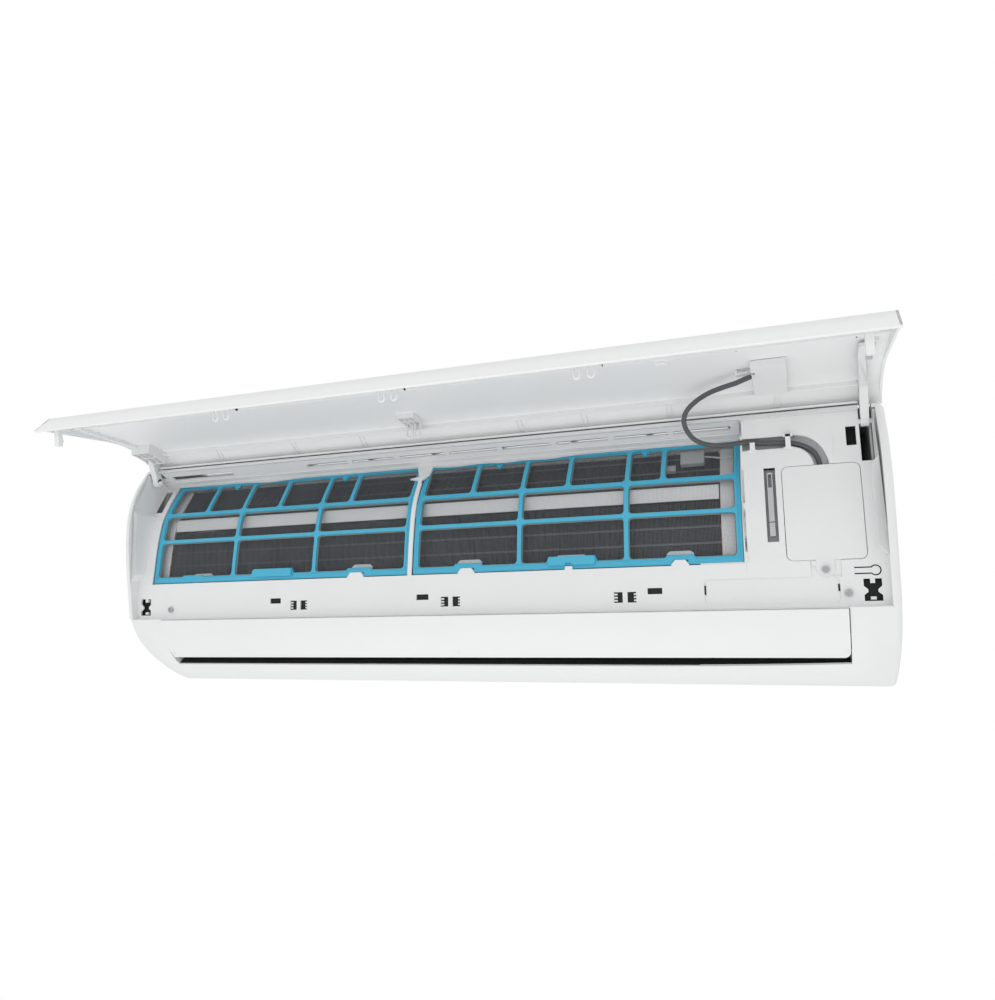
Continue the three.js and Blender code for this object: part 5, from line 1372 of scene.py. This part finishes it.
@dataclass
class Filters:
    """The two cyan filter frames and their nets."""

    width: float = 435.1
    start: float = -503.4
    pitch: float = 442.7
    thick: float = 4.0
    foot: float = 166.0  # height of the bottom rim's upper edge
    top: float = 313.0
    bar: float = 5.5
    rim: float = 7.0
    mesh: float = 1.6  # thread to thread, drawn coarser than the real 0.6
    thread: float = 0.15
    long_bars: tuple[tuple[float, ...], ...] = ((-358.0, -219.0), (92.0, 234.0))
    short_bars: tuple[tuple[float, ...], ...] = ((-425.0, -293.0, -171.0), (20.0, 155.0, 280.0))
    notches: tuple[tuple[tuple[float, float], ...], ...] = (
        ((-159.0, -137.0),), ((9.0, 29.0), (291.0, 309.0)),
    )
    arches: tuple[tuple[tuple[float, float, float], ...], ...] = (
        ((-450.0, -413.0, 168.5), (-324.0, -253.0, 173.5), (-165.0, -125.0, 169.5)),
        ((0.0, 41.0, 169.5), (130.0, 196.0, 173.5), (282.0, 318.0, 169.5)),
    )
    handles: tuple[tuple[float, float], ...] = ((-322.0, -255.0), (132.0, 194.0))
    tabs: tuple[tuple[float, ...], ...] = ((-391.0, -196.0), (51.0, 255.0))
    radius: float = 5.0  # of the windows' corners
    inset: float = 1.3  # width of the net's film inside a window's edge

    def windows(self, which: int) -> list[tuple[float, float, float, float]]:
        """Left, right, low and high edge of each window of a frame."""
        x0 = self.start + self.pitch * which
        found = []
        for low, high, bars in (
            (self.foot, 219.0, self.long_bars[which]), (224.0, 262.0, self.long_bars[which]),
            (267.0, 309.6, (*self.long_bars[which], *self.short_bars[which])),
        ):
            half = self.bar / 2
            edges = [x0 + self.rim - half, *sorted(bars), x0 + self.width - self.rim + half]
            found += [(a + half, b - half, low, high) for a, b in zip(edges[:-1], edges[1:])]
        return found

    def bead(self, which: int) -> Shell:
        """Raised line round the frame that climbs over each arch and handle."""
        x0 = self.start + self.pitch * which
        x1 = x0 + self.width
        z = self.foot - 1.4
        knots = [(x0 + 4.2, 300), (x0 + 4.2, 230), (x0 + 4.2, z)]
        for a, b, high in self.arches[which]:
            knots += [(a, z), (a + 3, high - 1.4), (b - 3, high - 1.4), (b, z)]
        knots += [(x1 - 4.2, z), (x1 - 4.2, 230), (x1 - 4.2, 300)]
        line = np.array(knots, float)
        parts = []
        for a, b in zip(line[:-1], line[1:]):
            count = max(int(np.linalg.norm(b - a) / 6), 2)
            parts.append(a + np.linspace(0, 1, count, endpoint=False)[:, None] * (b - a))
        path = np.concatenate([*parts, line[-1:]])
        return tube(laid(path, FILTER, 0.0), 0.9, 8)

    def frame(self, which: int, body: Body) -> None:
        """A frame: bars, rounded window corners, arches over the housing's tabs and a handle."""
        x0 = self.start + self.pitch * which
        side = ("left", "right")[which]
        windows = self.windows(which)
        notches = [(a, b, 150.0, 163.4) for a, b in self.notches[which]]
        if which:
            notches.append((155.0, 164.0, 150.0, 161.4))
        rows = stretch(FILTER, 157.2, self.top)
        holes = by_height(FILTER, windows + notches)
        shells = [pierced(FILTER, (x0, x0 + self.width), rows, -self.thick, 0, holes)]
        for window in windows:
            shells += corners(FILTER, *window, self.radius, -self.thick, -0.1)
        for a, b, high in self.arches[which]:
            low = self.foot - 3
            hump = [
                (a - 1, low), (b + 1, low), (b + 1, self.foot), (b - 2.5, high), (a + 2.5, high),
                (a - 1, self.foot),
            ]
            shells.append(relief(hump, FILTER, -self.thick, 0.05))
        a, b = self.handles[which]
        handle = [(a, 161.5), (b, 161.5), (b, 170.5), (b - 3, 173), (a + 3, 173), (a, 170.5)]
        if which:
            handle[1:1] = [(154.5, 161.5), (155.8, 164.6), (163.2, 164.6), (164.5, 161.5)]
        shells.append(relief(handle, FILTER, -1, 2.6))
        for x in self.tabs[which]:
            tab = [
                (x - 2, 303), (x + 2, 303), (x + 2, 306), (x + 5, 306), (x + 5, 310), (x - 5, 310),
                (x - 5, 306), (x - 2, 306),
            ]
            shells.append(relief(tab, FILTER, -3.5, -0.6))
        shells.append(self.bead(which))
        piece(
            f"filter_{side}_frame", shells, CYAN_PP, body, 0.5, nodes=(f"filter_{side}",),
            slot=NODE_SLOT[f"filter_{side}"],
        )
        borders = []
        for a, b, low, high in windows:
            outer = rounded(a, b, low, high, self.radius)
            inner = rounded(a + self.inset, b - self.inset, low + self.inset, high - self.inset, 4.0)
            borders.append(collar(outer, inner, FILTER, -4.6, -3.2))
        piece(f"filter_net_{side}_border", borders, NET_BORDER, body, slot="net")

    def net(self, which: int, body: Body) -> None:
        """The woven net behind a frame.

        Formula: threads across are straight bars on the section line; threads up are bars
        that follow it.

        Args:
            which: 0 for the left filter, 1 for the right.
            body: the filter's body.
        """
        x0 = self.start + self.pitch * which + 2.5
        x1 = x0 + self.width - 5
        half = self.thread / 2
        low, high = stretch(FILTER, 159, 311)
        back = -self.thick - 0.8
        at = np.linspace(low, high, 27)
        outline = np.concatenate([FILTER.at(at, back + half), FILTER.at(at, back - half)[::-1]])
        threads = [along_x(outline, float(x), float(x) + self.thread) for x in np.arange(x0, x1, self.mesh)]
        for y, z in FILTER.at(np.arange(low + 0.5, high, self.mesh), back):
            square = np.array([[y - half, z], [y, z - half], [y + half, z], [y, z + half]])
            threads.append(along_x(square, x0, x1))
        side = ("left", "right")[which]
        piece(
            f"filter_net_{side}_threads", threads, NET_THREAD, body, nodes=(f"filter_net_{side}",),
            slot="net",
        )

    def build(self) -> None:
        """Makes both filters."""
        for which, body in enumerate((Body.FILTER_LEFT, Body.FILTER_RIGHT)):
            self.frame(which, body)
            self.net(which, body)


@dataclass
class Panel:
    """The hinged front panel, drawn closed and swung up by its opening angle."""

    wall: float = 3.0
    tip: tuple[float, float] = (-207.0, 104.5)
    chin: tuple[float, float] = (-229.5, 127.0)
    band_ribs: tuple[float, ...] = (-396.0, -260.0, -146.0, 94.0, 183.0, 293.0, 424.0)

    def strip(self, low: float, high: float, deep: float, x0: float, x1: float) -> Shell:
        """A rib inside the skin between two heights."""
        rows = stretch(PANEL, low, high)
        return pierced(PANEL, (x0, x1), rows, -self.wall - deep, -self.wall + 0.5, step=12)

    def skin(self) -> list[Shell]:
        """The curved skin with its chin, its end caps and the flange at the top."""
        outer = np.concatenate([[self.tip, self.chin], PANEL_LINE])
        inner = np.concatenate([[(-204.8, 106.7), (-225.9, 127.9)], offset(PANEL_LINE, -self.wall)])
        shells = [along_x(np.concatenate([outer, inner[::-1]]), -HALF_WIDTH, HALF_WIDTH)]
        edge = [(-209, 108), (-211, 140), (-214, 190), (-217, 245), (-213, 280), (-203, 309), (-191, 325)]
        cap = np.concatenate([outer, spline(edge, 24)[::-1]])
        for side in (-1, 1):
            shells.append(along_x(cap, side * (HALF_WIDTH - self.wall), side * HALF_WIDTH))
        flange = np.array([[-189.5, 329.5], [-189, 314], [-186, 314], [-186, 328.5]])
        shells.append(along_x(flange, -512, 512))
        return shells

    def ribs(self) -> list[Shell]:
        """The ribs inside the skin."""
        shells = [self.strip(*rib) for rib in (
            (300, 303, 6, -512, 512), (164, 166, 3, -538, 538), (168.5, 170, 1.5, 290, 500)
        )]
        for x in self.band_ribs:
            shells += [self.strip(303, 327, 1.6, x + d - 0.5, x + d + 0.5) for d in (-3.2, 3.2)]
        shells.append(self.strip(160, 285, 5, -519.2, -516.8))
        return shells

    def catches(self) -> list[Shell]:
        """U-shaped clips behind the chin, a hook beside each pair, and the latches' hooks."""
        shells = []
        for x in CLIP_X:
            shells += [horseshoe(x + d, 119.3, -219.5, -196, 3.4, 1.3) for d in (-8, 8)]
            hook = np.array([
                [-219.5, 118], [-221.5, 121.5], [-208, 121.5], [-208, 126], [-211, 126], [-211, 118]
            ])
            shells.append(along_x(hook, x + 16, x + 19.5))
        pocket = oblong(-32, -19, 120, 150)
        shells.append(relief(pocket, PANEL, -self.wall - 7, -self.wall + 0.4))
        shape = np.array([
            [-218.5, 117.5], [-225, 126.5], [-206, 124], [-194, 127.3], [-187, 126.2],
            [-187, 119.4], [-200, 118.3],
        ])
        shells += [along_x(shape, x - 4, x + 4) for x in LATCH_X]
        return shells

    def centre(self) -> None:
        """The middle bracket: a lattice of three by two cells with two U-shaped fingers."""
        shells = []
        for x in (-63, -55, -47, -39):
            shells.append(self.strip(257, 290, 7, x, x + 1.8))
        for z in (256.7, 272.5, 288.5):
            shells.append(self.strip(z, z + 1.8, 6.7, -62.7, -37.5))
        shells.append(self.strip(257.3, 289.7, 3, -62.4, -37.8))
        shells += [horseshoe(x, 284, -211, -189.5, 4.2, 1.5) for x in (-56, -44)]
        piece("centre_hook", [s.swung() for s in shells], WHITE_ABS, Body.PANEL, 0.4,
              nodes=("panel_centre_hook",), slot=NODE_SLOT["panel_centre_hook"])

    def arm(self, side: int) -> None:
        """A hinge arm with its block on the panel.

        Args:
            side: -1 for the left arm, 1 for the right one.
        """
        hy, hz = HINGE
        bar = np.array([
            [hy, hz + 5.5], [hy - 33, hz - 3], [hy - 38, hz - 12], [hy - 40, hz - 24], [hy - 33, hz - 20],
            [hy, hz - 5.5],
        ])
        x0, x1 = sorted((side * 514.0, side * 523.5))
        shells = [along_x(bar, x0, x1), turned([(0, 6.5), (x1 - x0, 6.5)], (x0, hy, hz), (x1, hy, hz), 32)]
        shells.append(self.strip(291, 314, 9, x0, x1))
        if side > 0:
            z = np.linspace(180.0, 304.0, 12)
            middle = 511.0 + np.clip((z - 204.0) / 95.0, 0, 1) * 7.5
            half = 3.6 + np.clip((z - 204.0) / 95.0, 0, 1) * 1.2
            outline = np.concatenate([
                np.column_stack([middle - half, z]), np.column_stack([middle + half, z])[::-1]
            ])
            shells.append(relief(outline, PANEL, -self.wall - 9, -self.wall - 4))
            for a, b, c, d in ((515.3, 525.7, 178, 180), (515.3, 525.7, 237, 239), (515, 517, 178.3, 238.7),
                               (524, 526, 178.3, 238.7)):
                shells.append(self.strip(c, d, 5, a, b))
        else:
            for x in (-526, -515.3, -504.7, -494):
                shells.append(self.strip(268, 312, 15, x, x + 2))
            for z in (267.7, 289, 310.3):
                shells.append(self.strip(z, z + 2, 14.7, -525.7, -492.3))
            shells.append(self.strip(268.3, 311.7, 8, -525.4, -492.6))
        name = "right" if side > 0 else "left"
        piece(f"arm_{name}", [s.swung() for s in shells], WHITE_ABS, Body.PANEL, 0.6,
              nodes=(f"panel_arm_{name}",), slot=NODE_SLOT[f"panel_arm_{name}"])

    def build(self) -> None:
        """Makes the panel."""
        shells = [*self.skin(), *self.ribs(), *self.catches()]
        y = depth(PANEL, 183, -self.wall)
        boss = [(-1, 8.5), (2.4, 8.5), (3.2, 7.4), (3.2, 0.4)]
        shells.append(turned(boss, (305, y, 183), (305, y + 10, 183), 32))
        piece(
            "panel_skin", [s.swung() for s in shells], PANEL_ABS, Body.PANEL, 0.6,
            nodes=("front_panel",), slot=NODE_SLOT["front_panel"],
        )
        # painted shade: a dark dot and a dark slit stand for openings in the panel's inside, seen only as
        # shade
        y = depth(PANEL, 172, -self.wall)
        marks = [turned([(-0.5, 1.6), (0.25, 1.6)], (386, y, 172), (386, y + 5, 172), 16),
                 beam(504.5, 506, y - 1, y + 0.3, 168, 182)]
        piece("panel_hole_shade", [s.swung() for s in marks], PAINTED_SHADE, Body.PANEL, slot="black_abs")
        self.centre()
        for side in (-1, 1):
            self.arm(side)
        refined("display_housing", WHITE_ABS, 0.8)
        refined("display_board", LAMINATE, 0.2)


@dataclass
class Studio:
    """Camera, lamps, background and floor."""

    camera_at: tuple[float, float, float] = (0.43075, -1.2043, -0.03036)
    yaw: float = 19.751  # degrees towards -X
    pitch: float = 5.81
    roll: float = -1.789
    lens: float = 29.46
    glow: float = 0.9  # the world's light on the object; the eye sees it at full white

    def camera(self) -> None:
        """Stands the camera where the photograph was taken from."""
        yaw, pitch, roll = (math.radians(a) for a in (self.yaw, self.pitch, self.roll))
        ahead = Vector((-math.sin(yaw) * math.cos(pitch), math.cos(yaw) * math.cos(pitch), math.sin(pitch)))
        right = Vector((math.cos(yaw), math.sin(yaw), 0.0))
        up = right.cross(ahead)
        r2 = right * math.cos(roll) + up * math.sin(roll)
        u2 = up * math.cos(roll) - right * math.sin(roll)
        data = bpy.data.cameras.new("camera")
        data.lens = self.lens
        data.sensor_width = 36.0
        data.clip_start, data.clip_end = 0.01, 50.0
        holder = bpy.data.objects.new("camera", data)
        holder.matrix_world = Matrix.Translation(self.camera_at) @ Matrix((
            (r2.x, u2.x, -ahead.x, 0), (r2.y, u2.y, -ahead.y, 0), (r2.z, u2.z, -ahead.z, 0), (0, 0, 0, 1)
        ))
        bpy.context.scene.collection.objects.link(holder)
        bpy.context.scene.camera = holder

    def lamp(self, name: str, at: tuple, towards: tuple, size: float, power: float) -> None:
        """A large square soft lamp."""
        data = bpy.data.lights.new(name, "AREA")
        data.size = size
        data.energy = power
        holder = bpy.data.objects.new(name, data)
        holder.location = at
        holder.rotation_euler = (Vector(towards) - Vector(at)).to_track_quat("-Z", "Y").to_euler()
        bpy.context.scene.collection.objects.link(holder)

    def surroundings(self) -> None:
        """A white world for the eye that lights the object more softly, and a pale floor."""
        world = bpy.data.worlds.new("studio")
        bpy.context.scene.world = world
        world.use_nodes = True
        tree = world.node_tree
        tree.nodes.clear()
        path = add_node(tree, "ShaderNodeLightPath")
        seen = add_node(
            tree, "ShaderNodeMath", {"operation": "MAXIMUM"}, i0=path.outputs["Is Camera Ray"],
            i1=path.outputs["Is Transmission Ray"],
        )
        strength = add_node(
            tree, "ShaderNodeMapRange", Value=seen.outputs[0], To_Min=self.glow, To_Max=1.0
        )
        glow = add_node(
            tree, "ShaderNodeBackground", Color=(1.0, 1.0, 1.0, 1.0), Strength=strength.outputs["Result"]
        )
        add_node(tree, "ShaderNodeOutputWorld", Surface=glow.outputs["Background"])

        floor = piece("floor", [beam(-6000, 6000, -6000, 6000, -1210, -1200)], WHITE_ABS, None)
        material = bpy.data.materials.new("pale_floor")
        material.use_nodes = True
        tree = material.node_tree
        tree.nodes.clear()
        path = add_node(tree, "ShaderNodeLightPath")
        soft = add_node(tree, "ShaderNodeBsdfDiffuse", Color=linear("#F4F4F4"))
        white = add_node(tree, "ShaderNodeEmission", Color=(1.0, 1.0, 1.0, 1.0), Strength=1.0)
        both = add_node(
            tree, "ShaderNodeMixShader", i0=path.outputs["Is Camera Ray"], i1=soft.outputs["BSDF"],
            i2=white.outputs["Emission"],
        )
        add_node(tree, "ShaderNodeOutputMaterial", Surface=both.outputs["Shader"])
        floor.data.materials.clear()
        floor.data.materials.append(material)

    def build(self) -> None:
        """Sets the studio up."""
        self.camera()
        self.surroundings()
        self.lamp("key", (-0.8, -2.2, 1.6), (0, -0.1, 0.0), 2.0, 2.0)
        self.lamp("fill", (1.8, -1.8, 0.4), (0.1, -0.1, 0.0), 1.8, 1.2)
        self.lamp("under", (0.0, -0.8, -1.1), (0, -0.3, 0.2), 1.6, 4.5)
        bpy.context.scene.view_settings.view_transform = "Standard"


def main() -> None:
    """Builds every sub-assembly in order."""
    logging.basicConfig(level=logging.INFO, format="%(message)s")
    parts = (
        Studio(), Lead(), WallSide(), Housing(), Coil(), Fan(), Outlet(), Electrics(), Filters(), Panel(),
    )
    for part in parts:
        part.build()
        log.info("%s done", type(part).__name__)


if __name__ == "__main__":
    main()
